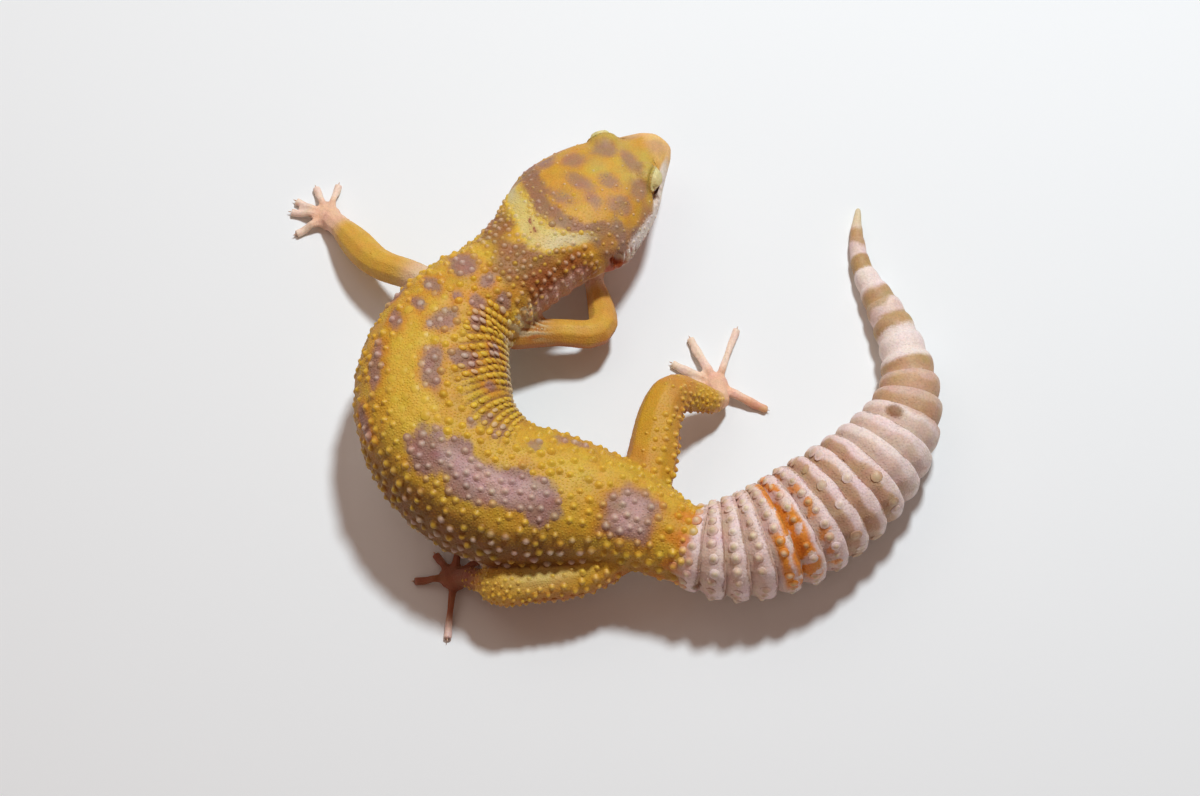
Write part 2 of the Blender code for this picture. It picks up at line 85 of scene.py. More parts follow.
# Middle line of each leg, from the body to the palm, and the three solids it is made of.
legPlan = {
    "arm_left": {
        "line": [(-25.5, 13.6, 12.0), (-36.0, 20.8, 7.3), (-38.2, 22.7, 6.2), (-43.6, 29.8, 2.9),
                 (-46.0, 32.6, 1.5)],
        "nodes": ("upper_arm_left", "forearm_left", "hand_left"),
        "digits": [(78, 6.8), (113, 6.7), (150, 7.0), (169, 7.0), (207, 6.6)],
        "swellings": [(0.7, 0.2, 0.2)],  # place, half length and rise
    },
    "arm_right": {
        "line": [(-14.4, 7.6, 9.6), (-1.4, 8.9, 6.4), (0.5, 10.5, 5.6), (-0.8, 19.4, 2.8),
                 (-1.2, 22.8, 1.4)],
        "nodes": ("upper_arm_right", "forearm_right", "hand_right"),
        "digits": [(150, 6.2), (118, 6.7), (88, 7.0), (61, 6.8), (29, 6.0)],
    },
    "leg_right": {
        "line": [(7.4, -20.6, 10.2), (10.0, -7.2, 11.2), (11.9, -3.6, 10.6), (19.8, -1.8, 3.1),
                 (19.5, 1.5, 1.5)],
        "nodes": ("thigh_right", "shin_right", "foot_right"),
        "digits": [(172, 7.4), (149, 9.0), (116, 10.3), (72, 11.5), (-25, 9.3)],
        "swellings": [(0.3, 0.3, 0.25), (0.56, 0.1, 0.25)],
    },
    "leg_left": {
        "line": [(3.6, -31.0, 9.4), (-10.8, -35.6, 8.6), (-16.2, -35.6, 8.2), (-21.4, -32.6, 3.0),
                 (-23.6, -32.2, 1.4)],
        "nodes": ("thigh_left", "shin_left", "foot_left"),
        "digits": [(40, 6.8), (84, 7.6), (127, 5.8), (182, 6.9), (-96, 10.4)],
        "swellings": [(0.63, 0.09, 0.55), (0.78, 0.06, -0.45)],
    },
}
bodyNodes = ["head", "lower_jaw", "neck", "shoulders", "trunk_front", "trunk_rear", "hips",
             "tail_root", "tail_fat_part", "tail_middle", "tail_taper", "tail_tip"]
legNodes = [node for leg in legPlan.values() for node in leg["nodes"]]
digitNodes = [leg["nodes"][2] for leg in legPlan.values()]
bothSides = ("left", "right")


def spineRows():
    turn = math.radians(bodyPlan["heading"])
    x, y = bodyPlan["snout"]
    head = [(x - row[0] * math.cos(turn), y - row[0] * math.sin(turn), *row[1:])
            for row in bodyPlan["head"]]
    return np.array(head + bodyPlan["trunk"] + bodyPlan["tail"])


rows = spineRows()
rowPlaces = np.r_[0.0, np.cumsum(np.linalg.norm(np.diff(rows[:, :2], axis=0), axis=1))]
tailStart = rowPlaces[len(bodyPlan["head"]) + len(bodyPlan["trunk"]) - 1]
tailLength = rowPlaces[-1] - tailStart


def sectionAt(at):
    # A smooth curve through the rows: place of the middle line, half width and three heights.
    at = np.atleast_1d(at)
    last = len(rows) - 1
    before, after = np.arange(last + 1) - 1, np.arange(last + 1) + 1
    before, after = np.maximum(before, 0), np.minimum(after, last)
    slopes = (rows[after] - rows[before]) / (rowPlaces[after] - rowPlaces[before])[:, None]
    i = np.clip(np.searchsorted(rowPlaces, at, side="right") - 1, 0, last - 1)
    span = (rowPlaces[i + 1] - rowPlaces[i])[:, None]
    t = (at - rowPlaces[i])[:, None] / span
    return ((2 * t**3 - 3 * t**2 + 1) * rows[i] + (t**3 - 2 * t**2 + t) * span * slopes[i]
            + (3 * t**2 - 2 * t**3) * rows[i + 1] + (t**3 - t**2) * span * slopes[i + 1])


spineAt = np.arange(0.0, rowPlaces[-1], bodyPlan["spineStep"])
spineLine = sectionAt(spineAt)
spineAhead = np.gradient(spineLine[:, :2], axis=0)
spineAhead /= np.linalg.norm(spineAhead, axis=1)[:, None]
spineLeft = np.c_[spineAhead[:, 1], -spineAhead[:, 0]]
spineBend = (np.gradient(spineLeft, bodyPlan["spineStep"], axis=0) * spineAhead).sum(1)


def toPlan(points):
    points = np.array(points, dtype=float).reshape(-1, 3) / mm
    points[:, :2] -= bodyPlan["shift"]
    return points


def toFrame(points):
    points = np.array(points, dtype=float).reshape(-1, 3)
    points[:, :2] += bodyPlan["shift"]
    return points * mm


def smooth(value, low, high):
    share = np.clip((value - low) / (high - low), 0.0, 1.0)
    return share * share * (3 - 2 * share)


def band(value, rise, fall):
    # 1 between two soft edges, each given by where it starts and ends, and 0 outside them.
    return smooth(value, *rise) * (1 - smooth(value, *fall))


def rollAt(at):
    start, end = bodyPlan["rollFade"]
    return math.radians(bodyPlan["roll"]) * (1 - smooth(at, start, end))


class Places:
    # Where points lie on the body: behind the snout, out to the left, up, and the angle round
    # the section from the back, left positive, with its length in millimetres.
    def __init__(self, points):
        nearest = np.empty(len(points), int)
        batch, stride = 20000, 10
        for start in range(0, len(points), batch):
            flat = points[start:start + batch, None, :2]
            rough = ((flat - spineLine[None, ::stride, :2])**2).sum(2).argmin(1) * stride
            near = rough[:, None] + np.arange(1 - stride, stride)
            near = np.clip(near, 0, len(spineAt) - 1)
            best = ((flat - spineLine[near, :2])**2).sum(2).argmin(1)
            nearest[start:start + batch] = near[np.arange(len(near)), best]
        away = points[:, :2] - spineLine[nearest, :2]
        ahead, left = spineAhead[nearest], spineLeft[nearest]
        self.at = spineAt[nearest] + (away * ahead).sum(1)
        out = (away * left).sum(1)
        roll = rollAt(self.at)
        rise = points[:, 2] - bodyPlan["rollHeight"]
        self.out = out * np.cos(roll) - rise * np.sin(roll)
        self.up = bodyPlan["rollHeight"] + out * np.sin(roll) + rise * np.cos(roll)
        section = sectionAt(np.clip(self.at, 0, rowPlaces[-1]))
        self.width, middle = section[:, 2], section[:, 4]
        reach = np.where(self.up > middle, section[:, 3] - middle, middle - section[:, 5])
        angle = np.arctan2(self.out / self.width, (self.up - middle) / reach)
        self.round = np.degrees(angle)
        self.girthRadius = (self.width + (section[:, 3] - section[:, 5]) / 2) / 2
        self.girth = angle * self.girthRadius
        self.stretch = 1 + out * spineBend[nearest]
        self.ahead = np.c_[ahead, np.zeros(len(points))]
        self.points = points


def onBody(at, around):
    # The middle of a section, and the place on its edge at an angle round it.
    section = sectionAt(at)
    i = np.round(np.atleast_1d(at) / bodyPlan["spineStep"]).astype(int)
    i = np.clip(i, 0, len(spineAt) - 1)
    angle = np.radians(around)
    reach = np.where(np.abs(around) < 90, section[:, 3] - section[:, 4],
                     section[:, 4] - section[:, 5])
    out, rise = np.sin(angle) * section[:, 2], np.cos(angle) * reach
    roll = rollAt(np.atleast_1d(at))
    lift = section[:, 4] + rise - bodyPlan["rollHeight"]
    turned = out * np.cos(roll) + lift * np.sin(roll)
    up = bodyPlan["rollHeight"] + lift * np.cos(roll) - out * np.sin(roll)
    place = np.c_[section[:, :2] + turned[:, None] * spineLeft[i], up]
    middle = np.c_[section[:, :2], section[:, 4]]
    return middle, place


def ringEdge(number):
    share = number / bodyPlan["rings"]
    eased = share - bodyPlan["ringEase"] * np.sin(2 * np.pi * share) / (2 * np.pi)
    return tailStart + tailLength * eased


ringNumbers = np.linspace(0, bodyPlan["rings"], 1001)
ringPlaces = ringEdge(ringNumbers)


def ringAt(at):
    return np.interp(at, ringPlaces, ringNumbers, left=-1.0)


def legPlaces(points, line):
    # Length along a leg and the angle round it, for points near it, and the leg's length.
    line = np.array(line)
    best = np.full(len(points), np.inf)
    along, around = np.zeros(len(points)), np.zeros(len(points))
    done = 0.0
    for start, end in zip(line[:-1], line[1:]):
        run = end - start
        length = np.linalg.norm(run)
        run /= length
        t = np.clip((points - start) @ run, 0, length)
        away = points - start - t[:, None] * run
        distance = np.linalg.norm(away, axis=1)
        side = np.cross(run, (0, 0, 1))
        side /= np.linalg.norm(side)
        near = distance < best
        best[near] = distance[near]
        along[near] = done + t[near]
        around[near] = np.degrees(np.arctan2(away @ side, away @ np.cross(side, run)))[near]
        done += length
    return along, around, done


def eachLeg(points, owner):
    # Each leg's name, which points are its own, and where they lie along and round it.
    for name, leg in legPlan.items():
        mine = np.isin(owner, leg["nodes"])
        if mine.any():
            yield name, mine, *legPlaces(points[mine], leg["line"])


def ripple(points, size, seed):
    # Smooth waves with no direction of their own, about one size across, between -1 and 1.
    source = np.random.RandomState(seed)
    total = np.zeros(len(points))
    for _ in range(9):
        way = source.normal(size=3)
        way *= (0.7 + 0.6 * source.rand()) * math.pi / size / np.linalg.norm(way)
        total += np.sin(points @ way + source.rand() * 2 * math.pi)
    return np.clip(total / 3.2, -1, 1)


def linear(hexColour):
    # An sRGB hex value as linear red, green and blue.
    value = hexColour.lstrip("#")
    parts = [int(value[i:i + 2], 16) / 255 for i in (0, 2, 4)]
    return np.array([p / 12.92 if p <= 0.04045 else ((p + 0.055) / 1.055) ** 2.4 for p in parts])


# ---- Markings: the same functions colour the skin and the warts

markings = {
    # spots of the crown and back: behind the snout, degrees round, half length, half width, turn
    "crownSpots": [(10.3, 18, 1.9, 1.6, 0), (15.3, 25, 1.9, 1.5, 20), (18.4, 44, 1.6, 1.4, 0),
                   (8.7, -11, 1.3, 2.4, 25), (18.3, 4, 1.2, 2.5, -10), (14.6, -14, 1.3, 1.3, 0),
                   (22.6, 1, 1.1, 1.5, 0), (19.2, -18, 1.2, 1.5, 0), (16.4, -37, 2.2, 1.5, 35),
                   (12.1, -41, 1.9, 1.4, 0)],
    "backSpots": [(43.4, 27, 2.3, 2.6, 0), (48.5, 27, 1.1, 2.1, 20), (51.9, 26, 0.9, 1.7, 20),
                  (54.6, 38, 1.0, 2.3, 60), (61.0, 44, 4.4, 1.2, 0), (42.5, -8, 1.6, 1.1, 0),
                  (48.0, 0, 0.9, 0.9, 0), (53.0, -1, 2.6, 1.6, 30), (61.5, -1, 3.4, 1.7, 0),
                  (59.2, -24, 1.5, 2.0, 0), (54.4, -52, 1.2, 1.6, 0), (46.3, -19, 1.2, 1.4, 0),
                  (50.1, -28, 1.4, 1.2, 0), (42.1, -38, 1.2, 1.6, 0), (65.6, -46, 0.9, 1.1, 0),
                  (66.5, 62, 3.0, 1.4, 0), (51.0, 62, 2.2, 1.2, 0), (57.5, -75, 1.4, 1.2, 0),
                  (105.4, 12, 4.2, 4.5, 0)],
    "saddle": [(74.0, 22, 4.0, 3.2, 0), (80.0, 15, 7.0, 3.1, 0), (87.5, 11, 5.0, 2.9, 0),
               (91.0, 22, 2.6, 3.4, 30), (76.5, 6, 2.4, 2.0, 0)],
    "greySpots": [(74.3, -17, 0.8, 1.0, 0), (75.4, -28, 0.9, 1.4, 0), (79.7, -29, 0.9, 1.6, 30),
                  (88.5, -30, 1.1, 1.2, 0), (91.9, -47, 1.1, 1.2, 0), (95.0, -49, 1.2, 1.0, 0)],
    "collar": [(-46, 25.2), (-36, 26.6), (-30, 29.0), (-12, 30.6), (10, 29.7), (30, 27.8),
               (58, 25.2), (78, 23.2)],
    "collarHalf": 2.35,
    "collarSpots": [(29.0, 8, 0.5, 0.6, 0), (30.2, -1, 0.7, 0.7, 0)],
    "stripe": {"from": (46.0, 52.0), "to": (69.0, 79.0), "round": 16.0, "half": 3.6},
    "paleCores": [(82.0, 12, 9.0, 1.7, 0), (105.4, 12, 2.6, 2.8, 0)],
    "greenish": [(8.6, 22, 3.2, 2.6, 0), (8.6, -26, 3.6, 3.2, 0), (13.5, 6, 1.6, 1.6, 0)],
    "snoutSpots": [(2.6, -20, 1.4, 1.6, 0), (4.6, 38, 1.6, 1.0, 0)],
    "tailSpots": [(158.15, -12, 1.1, 1.6, 0), (116.9, 84, 0.8, 1.1, 0)],
    # behind the snout and the height of the closed lips
    "mouthLine": [(-2.0, 8.4), (4.0, 8.2), (12.0, 8.3), (17.5, 8.9), (19.6, 9.6)],
    # the tail's bands: from ring, to ring, hue and strength
    "tailBands": [
        (9.95, 12.9, "tailWhite", 0.5), (12.95, 15.45, "tailTan", 0.6),
        (15.3, 15.75, "tailOlive", 0.85), (15.75, 17.25, "tailWhite", 0.95),
        (17.25, 18.05, "tailOlive", 0.95), (18.05, 18.75, "tailPink", 0.8),
        (18.75, 19.7, "tailOlive", 0.8), (19.7, 20.95, "tailWhite", 0.95),
        (20.95, 21.9, "tailOlive", 1.0), (21.9, 22.6, "tailPink", 0.9),
        (22.6, 23.65, "tailOlive", 0.9), (23.65, 25.5, "tailCream", 1.0)],
    "bandEdge": 0.14,
}
# The crease brown stands for painted shade in creases, grooves and hollows, and is also the
# colour of the collar's small spots.
hues = {
    "gold": "#D2A02E", "stripe": "#DBB23C", "deepGold": "#B67E26", "flankShadeOchre": "#80541F",
    "mauve": "#9E7868", "lavender": "#BE9A94", "crown": "#D29C38", "crownSpot": "#A07A66",
    "crownEdge": "#CC8428", "greenish": "#BCAE58", "nape": "#96643A", "collar": "#D6C072",
    "collarPale": "#D8C9A0", "cheek": "#AE7B56", "snout": "#F4C684", "lip": "#F1E8DE",
    "lid": "#DFD294", "lidCreaseShade": "#9A8436", "lidRim": "#A8742E", "belly": "#EBD9CC",
    "throat": "#DDB0A0", "neckShadeRed": "#9A5428", "ear": "#B45A34", "crease": "#8A5236",
    "orange": "#E88C1A", "tailPink": "#F0D8D2", "tailTan": "#C89F78", "tailOlive": "#BE9A6A",
    "tailWhite": "#F4E4DC", "tailCream": "#DECFAC", "tailBrown": "#8E6238", "leg": "#D49C42",
    "legRed": "#B4603A", "palm": "#EEC0A2", "toe": "#F1D9C6", "wartGold": "#E8C446",
    "wartPale": "#D2BBAA", "wartOlive": "#BFAD82", "rim": "#D57C1E",
}
hues = {name: linear(colour) for name, colour in hues.items()}


def spotMask(places, spots, softness=0.3, warp=0.16, grow=0.0):
    # 1 on a list of oval spots with wavy edges. Growing widens each by some millimetres.
    mask = np.zeros(len(places.at))
    wave = ripple(places.points, 1.7, 5) * warp + ripple(places.points, 0.8, 6) * warp / 2
    for at, around, halfLength, halfWidth, turn in spots:
        ahead = (places.at - at) * places.stretch
        aside = places.girth - math.radians(around) * places.girthRadius
        c, s = math.cos(math.radians(turn)), math.sin(math.radians(turn))
        distance = np.hypot((ahead * c + aside * s) / (halfLength + grow),
                            (aside * c - ahead * s) / (halfWidth + grow))
        mask = np.maximum(mask, 1 - smooth(distance + wave, 1 - softness, 1 + softness))
    return mask


def blendHue(first, second, share):
    return hues[first] + (hues[second] - hues[first]) * share


def blend(colour, mask, hue):
    return colour + (hue - colour) * np.clip(mask, 0, 1)[:, None]


def fromStripe(places):
    # Distance to the left of the pale stripe along the back.
    angle = math.radians(markings["stripe"]["round"])
    return places.girth - angle * places.girthRadius


def fromCollar(places):
    # Distance behind the middle of the pale collar.
    line = np.array(markings["collar"])
    return places.at - np.interp(places.round, line[:, 0], line[:, 1])


def aboveMouth(places):
    line = np.array(markings["mouthLine"])
    return places.up - np.interp(places.at, line[:, 0], line[:, 1])


def bodyTint(places):
    # Colour of the skin at these places of the head, neck, trunk, hips and tail.
    slow = ripple(places.points, 6.0, 1)
    quick = ripple(places.points, 1.6, 2)
    tint = trunkTint(places, slow, quick)
    tint = neckTint(places, tint, slow, quick)
    tint = headTint(places, tint, slow, quick)
    tint = undersideTint(places, tint, slow, quick)
    onTail = (places.at > tailStart)[:, None]
    tint = np.where(onTail, tailTint(places, tint, slow, quick), tint)
    hipRim = band(places.at, (110, 113), (115.2, 116.4))
    return blend(tint, 0.75 * hipRim * smooth(quick, -0.6, 0.6), hues["rim"])


def trunkTint(places, slow, quick):
    at, around = places.at, places.round
    side = np.abs(around - 10 * smooth(at, 30, 60))
    tint = np.tile(hues["gold"], (len(at), 1))
    tint = blend(tint, 0.5 + 0.5 * slow, hues["stripe"] * 0.96)
    tint = blend(tint, 0.35 * smooth(quick, 0.1, 0.9), hues["deepGold"])
    # Partly the skin's deeper gold low down, partly painted shade: the left flank, turned away
    # from the light, darkens nearly three times as much as the right.
    low = smooth(side + 6 * slow, 38, 82) * smooth(at, 36, 60)
    tint = blend(tint, 0.95 * low * np.where(around > 0, 1.0, 0.35), hues["deepGold"] * 0.92)
    # Painted shade: the middle of the left flank, turned away from the light, goes ochre brown.
    shadedFlank = smooth(around + 7 * slow, 28, 62) * band(at, (62, 76), (92, 106))
    tint = blend(tint, 0.9 * shadedFlank, hues["flankShadeOchre"])
    stripe = markings["stripe"]
    onStripe = 1 - smooth(np.abs(fromStripe(places)) + quick * 0.5,
                          stripe["half"] - 1.2, stripe["half"] + 1.2)
    onStripe *= band(at, stripe["from"], stripe["to"])
    tint = blend(tint, 0.8 * onStripe, hues["stripe"] * 1.04)
    rims = spotMask(places, markings["backSpots"], grow=0.9)
    tint = blend(tint, 0.5 * rims, hues["rim"] * 0.9)
    tint = blend(tint, 0.92 * spotMask(places, markings["backSpots"]), hues["mauve"])
    tint = blend(tint, spotMask(places, markings["saddle"], 0.22, 0.2), hues["mauve"] * 1.03)
    tint = blend(tint, spotMask(places, markings["paleCores"], 0.5), hues["lavender"] * 1.08)
    return blend(tint, 0.75 * spotMask(places, markings["greySpots"]), hues["mauve"] * 1.05)


def neckTint(places, tint, slow, quick):
    # The nape, the pale collar with its gold rim, and the ground colour of the crown.
    at, around = places.at, places.round
    neck = smooth(at, 28, 32) * (1 - smooth(at + 2.5 * slow, 37, 42))
    patches = smooth(ripple(places.points, 4.5, 8) + 0.7, 0, 0.5)
    tint = blend(tint, 0.9 * neck * patches, hues["nape"])
    # Partly the skin's red, partly painted shade: the right side of the neck, facing down and
    # away from the light, goes red-brown.
    neckShadeRed = band(at, (26, 29), (36, 42)) * smooth(-around + 6 * slow, 24, 52)
    tint = blend(tint, 0.9 * neckShadeRed, hues["neckShadeRed"])
    crown = 1 - smooth(at, 25.5, 27.5)
    tint = blend(tint, crown, hues["crown"])
    tint = blend(tint, crown * 0.4 * smooth(slow, -0.2, 0.8), hues["stripe"])
    behind = fromCollar(places)
    half = (markings["collarHalf"] + 0.35 * quick) * (1 - 0.42 * smooth(around, 18, 55))
    nape = 1 - smooth(np.abs(behind + 3.9) + 0.6 * quick, 1.7, 2.7)
    nape *= band(around, (-62, -40), (62, 84))
    tint = blend(tint, 0.92 * nape, blendHue("nape", "mauve", 0.45))
    ends = band(around, (-50, -38), (78, 92))
    rim = (1 - smooth(np.abs(behind), half, half + 1.0)) * ends
    tint = blend(tint, 0.8 * rim, hues["wartGold"])
    collar = (1 - smooth(np.abs(behind), half - 0.7, half)) * ends
    tint = blend(tint, collar, hues["collar"])
    paleEnds = collar * np.maximum(smooth(around, 30, 60), smooth(-around, 12, 32))
    tint = blend(tint, 0.7 * paleEnds, hues["collarPale"])
    return blend(tint, collar * spotMask(places, markings["collarSpots"]), hues["crease"] * 1.25)


def headTint(places, tint, slow, quick):
    at, side = places.at, np.abs(places.round)
    head = 1 - smooth(at, 24, 26)
    greenish = spotMask(places, markings["greenish"], 0.6)
    tint = blend(tint, 0.6 * greenish * head, hues["greenish"])
    rims = spotMask(places, markings["crownSpots"], grow=0.5)
    tint = blend(tint, 0.3 * rims, hues["crownEdge"])
    spots = spotMask(places, markings["crownSpots"], 0.42)
    tint = blend(tint, 0.78 * spots, hues["crownSpot"])
    tint = blend(tint, 0.75 * (1 - smooth(at + quick * 1.2, 2.0, 5.0)), hues["snout"])
    tint = blend(tint, 0.4 * spotMask(places, markings["snoutSpots"], 0.5), hues["mauve"])
    cheek = head * smooth(side + 5 * quick, 52, 66) * smooth(at, 9, 14)
    tint = blend(tint, 0.9 * cheek, hues["cheek"])
    mottled = head * smooth(side + 6 * slow, 30, 48) * smooth(at, 13, 18)
    mottled *= smooth(ripple(places.points, 2.4, 9), -0.2, 0.3)
    tint = blend(tint, 0.75 * mottled, hues["mauve"])
    lips = head * (1 - smooth(aboveMouth(places) + 0.4 * quick, 3.0, 3.6)) * smooth(side, 50, 60)
    lips *= band(at, (1.5, 5.0), (18.5, 20.5))
    tint = blend(tint, 0.9 * lips, hues["lip"])
    # Painted shade along the groove of the closed mouth.
    return blend(tint, 0.8 * mouthGroove(places), hues["crease"] * 0.8)


def undersideTint(places, tint, slow, quick):
    # The belly and throat, the inner flank, and the folds, pleats and pits of the skin, with
    # painted shade in their hollows.
    at, around = places.at, places.round
    under = smooth(np.abs(around) + 5 * slow, 98, 122) * (1 - smooth(at, 112, 116))
    tint = blend(tint, under, hues["belly"])
    tint = blend(tint, under * (1 - smooth(at, 28, 36)), hues["throat"] * 1.05)
    throat = smooth(-around, 60, 80) * band(at, (27, 31), (36, 44))
    tint = blend(tint, 0.8 * throat, hues["throat"] * 0.92)
    inner = smooth(-around, 62, 84) * band(at, (44, 50), (82, 90))
    tint = blend(tint, 0.6 * inner, hues["collarPale"] * 0.9)
    # Painted shade in the valleys between the inner flank's folds.
    crease = foldMask(places) * (1 - smooth(foldRidge(places), 0.35, 0.85))
    tint = blend(tint, 0.75 * crease, hues["crease"] * 0.85)
    pleats, ridges = mouthFolds(places)
    tint = blend(tint, smooth(pleats, 0.25, 0.55), hues["lip"])
    # Painted shade in the grooves between the pale pleats at the mouth's corner.
    pleatGrooveShade = smooth(pleats, 0.3, 0.6) * (1 - smooth(ridges, 0.05, 0.3))
    tint = blend(tint, 0.8 * pleatGrooveShade, hues["ear"])
    red = np.hypot((at - 23.6) / 2.3, (places.up - 10.0) / 1.8) + 0.3 * quick
    tint = blend(tint, (1 - smooth(red, 0.55, 1.1)) * (around < -50), hues["ear"] * 1.1)
    # Painted shade in the ear opening.
    tint = blend(tint, smooth(earHollow(places), 0.2, 0.7), hues["ear"] * 0.8)
    folds, ridges = armpitFolds(places.points)
    folds = folds * (around < -60)
    return blend(tint, 0.9 * folds * smooth(ridges, 0.4, 0.75), hues["collarPale"])


def tailTint(places, tint, slow, quick):
    ring = ringAt(places.at) + 0.05 * quick
    phase = ring - np.floor(ring)
    tail = np.tile(hues["tailPink"], (len(ring), 1))
    blotches = ripple(places.points, 2.6, 21)
    front = 1 - smooth(phase + 0.08 * blotches, 0.5, 0.66)
    tail = blend(tail, (0.45 + 0.4 * smooth(ring, 6.2, 7.6)) * front, hues["tailTan"])
    edge = markings["bandEdge"]
    for start, end, hue, strength in markings["tailBands"]:
        uneven = ring + 0.14 * slow + 0.22 * blotches * (start > 17.5)
        inside = band(uneven, (start - edge, start + edge), (end - edge, end + edge))
        tail = blend(tail, strength * inside, hues[hue])
    holes = ripple(places.points, 1.4, 23)
    patch = band(ring, (4.72, 4.9), (5.7, 5.9)) * smooth(holes + 0.55, 0, 0.3)
    strip = band(ring, (4.25, 4.4), (4.6, 4.75)) * smooth(places.round, 0, 20)
    bits = band(ring, (6.1, 6.25), (6.6, 6.8)) * smooth(holes, 0.1, 0.4)
    patch = np.maximum(patch, np.maximum(strip, 0.8 * bits))
    patch *= band(places.round, (-80, -62), (78, 100))
    tail = blend(tail, 0.95 * patch, hues["orange"])
    smudges = spotMask(places, markings["tailSpots"], 0.25, 0.08)
    tail = blend(tail, 0.9 * smudges, hues["tailBrown"])
    under = smooth(np.abs(places.round), 105, 130)
    tail = blend(tail, 0.7 * under, hues["belly"])
    # Painted shade in the grooves between the rings.
    groove = np.maximum(1 - smooth(phase, 0.0, 0.1), smooth(phase, 0.95, 1.0)) * (ring > 0.3)
    tail = blend(tail, 0.6 * groove * (1 - smooth(ring, 12.5, 16)), hues["crease"])
    early = 1 - smooth(ring + 0.5 * slow + 0.3 * quick, 0.35, 0.8)
    return tail + (tint - tail) * early[:, None]


def mouthGroove(places):
    groove = np.exp(-(aboveMouth(places) / 0.28) ** 2) * (1 - smooth(places.at, 19.2, 20.2))
    return groove * (np.abs(places.round) > 35)


def armpitFolds(points):
    # Thin folds run from the flank on to the right upper arm: how strong, and their ridges.
    start, end = (np.array(p) for p in legPlan["arm_right"]["line"][:2])
    way = (end - start)[:2] / np.linalg.norm((end - start)[:2])
    away = points[:, :2] - start[:2]
    along, aside = away @ way, away @ np.array([-way[1], way[0]])
    strength = np.exp(-((along - 1.8) / 4.0) ** 4) * (1 - smooth(np.abs(aside - 0.4), 1.5, 2.6))
    bend = 0.12 * (along - 2.6) * np.sign(aside) + 0.25 * ripple(points, 2.2, 15)
    return strength, 0.5 + 0.5 * np.cos(2 * math.pi * (aside + bend) / 1.05)


def legTint(points, along, around, length, name):
    # Colour of a leg's skin: gold above, redder below and behind (partly painted shade), pink
    # palm and pale toes, with painted shade in its creases and on the left foot.
    slow = ripple(points, 5.0, 3)
    tint = np.tile(hues["leg"], (len(points), 1))
    if name.startswith("leg"):
        tint = blend(tint, 0.7 - 0.3 * slow, hues["gold"])
    # Redder towards the underside: partly the skin's own red, partly painted shade beneath the
    # leg.
    underRedShade = smooth(np.abs(around), 60, 115)
    tint = blend(tint, 0.75 * underRedShade, hues["legRed"])
    tint = blend(tint, 0.25 * smooth(slow, 0, 0.8), hues["legRed"])
    share = along / length
    if name == "arm_right":
        tint = blend(tint, 0.45 * (1 - smooth(np.abs(around + 10), 15, 60)), hues["stripe"])
        folds, ridges = armpitFolds(points)
        # Painted shade in the grooves between the armpit folds.
        tint = blend(tint, 0.8 * folds * (1 - ridges), hues["legRed"] * 0.8)
        tint = blend(tint, 0.9 * folds * smooth(ridges, 0.45, 0.8), hues["collarPale"])
    if name == "arm_left":
        tint = blend(tint, 0.45 + 0.2 * slow, hues["stripe"] * 1.06)
        tint = blend(tint, 0.7 * (1 - smooth(share, 0.12, 0.36)), hues["toe"] * 0.88)
    if name == "leg_left":
        # The top of the knee pales to cream: partly skin colour, partly a painted highlight where
        # the light falls on it.
        top = np.exp(-((share - 0.42) / 0.2) ** 2) * (1 - smooth(np.abs(around), 20, 65))
        tint = blend(tint, 0.7 * top, hues["collar"] * 0.95)
        # Painted shade in the crease between the thigh and the body.
        tint = blend(tint, 0.85 * smooth(around, 45, 85) * (1 - smooth(share, 0.5, 0.62)),
                     hues["crease"])
    tint = blend(tint, smooth(share + 0.03 * slow, 0.78, 0.95), hues["palm"])
    palm = np.array(legPlan[name]["line"][-1])
    away = np.linalg.norm((points - palm)[:, :2], axis=1)
    if name == "leg_left":
        # Painted shade: the left foot, in the shadow under the body, goes dark red.
        tint = blend(tint, 0.9 * smooth(share, 0.72, 0.85), hues["legRed"] * 0.6)
        return blend(tint, 0.8 * smooth(away, 5.5, 9.0) * smooth(share, 0.9, 0.99), hues["toe"])
    return blend(tint, smooth(away, 2.0, 4.5) * smooth(share, 0.9, 0.99), hues["toe"])


# ---- Skin

skinPlan = {
    "voxel": 0.54,
    "swell": 0.26,  # closes the cuts between the solids
    "lensGrowth": {"hand": (8.6, 1.9), "foot": (11.2, 1.65), "eye": (5.6, 1.8)},
    "rounds": 34,
    "softness": {"body": 1.0, "head": 0.9, "leg": 0.35, "toe": 0.1},
    "eyeFiller": 3.05,
    "inset": {"head": 0.03, "neck": 0.14, "trunk": 0.14, "tail": 0.1, "leg": 0.02, "toe": 0.08},
    "foldStep": 2.05,  # distance between the folds of the inner flank, along the spine
    "foldHeight": 0.36,
    "ringHeight": 0.125,  # share of the tail's radius
    "ringCrest": 0.78,  # how far along a ring its rim stands
    "ringFall": 0.22,
    "ringGroove": 0.14,
    "ringLean": 0.7,
    "digitRoot": 1.8,  # how far from the palm's middle a digit starts
    "tipRadius": 0.64,
    "triangles": 196000,
}


def eyeCentre(side):
    low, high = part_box(f"eye_{side}")
    return (Vector(low) + Vector(high)) / 2


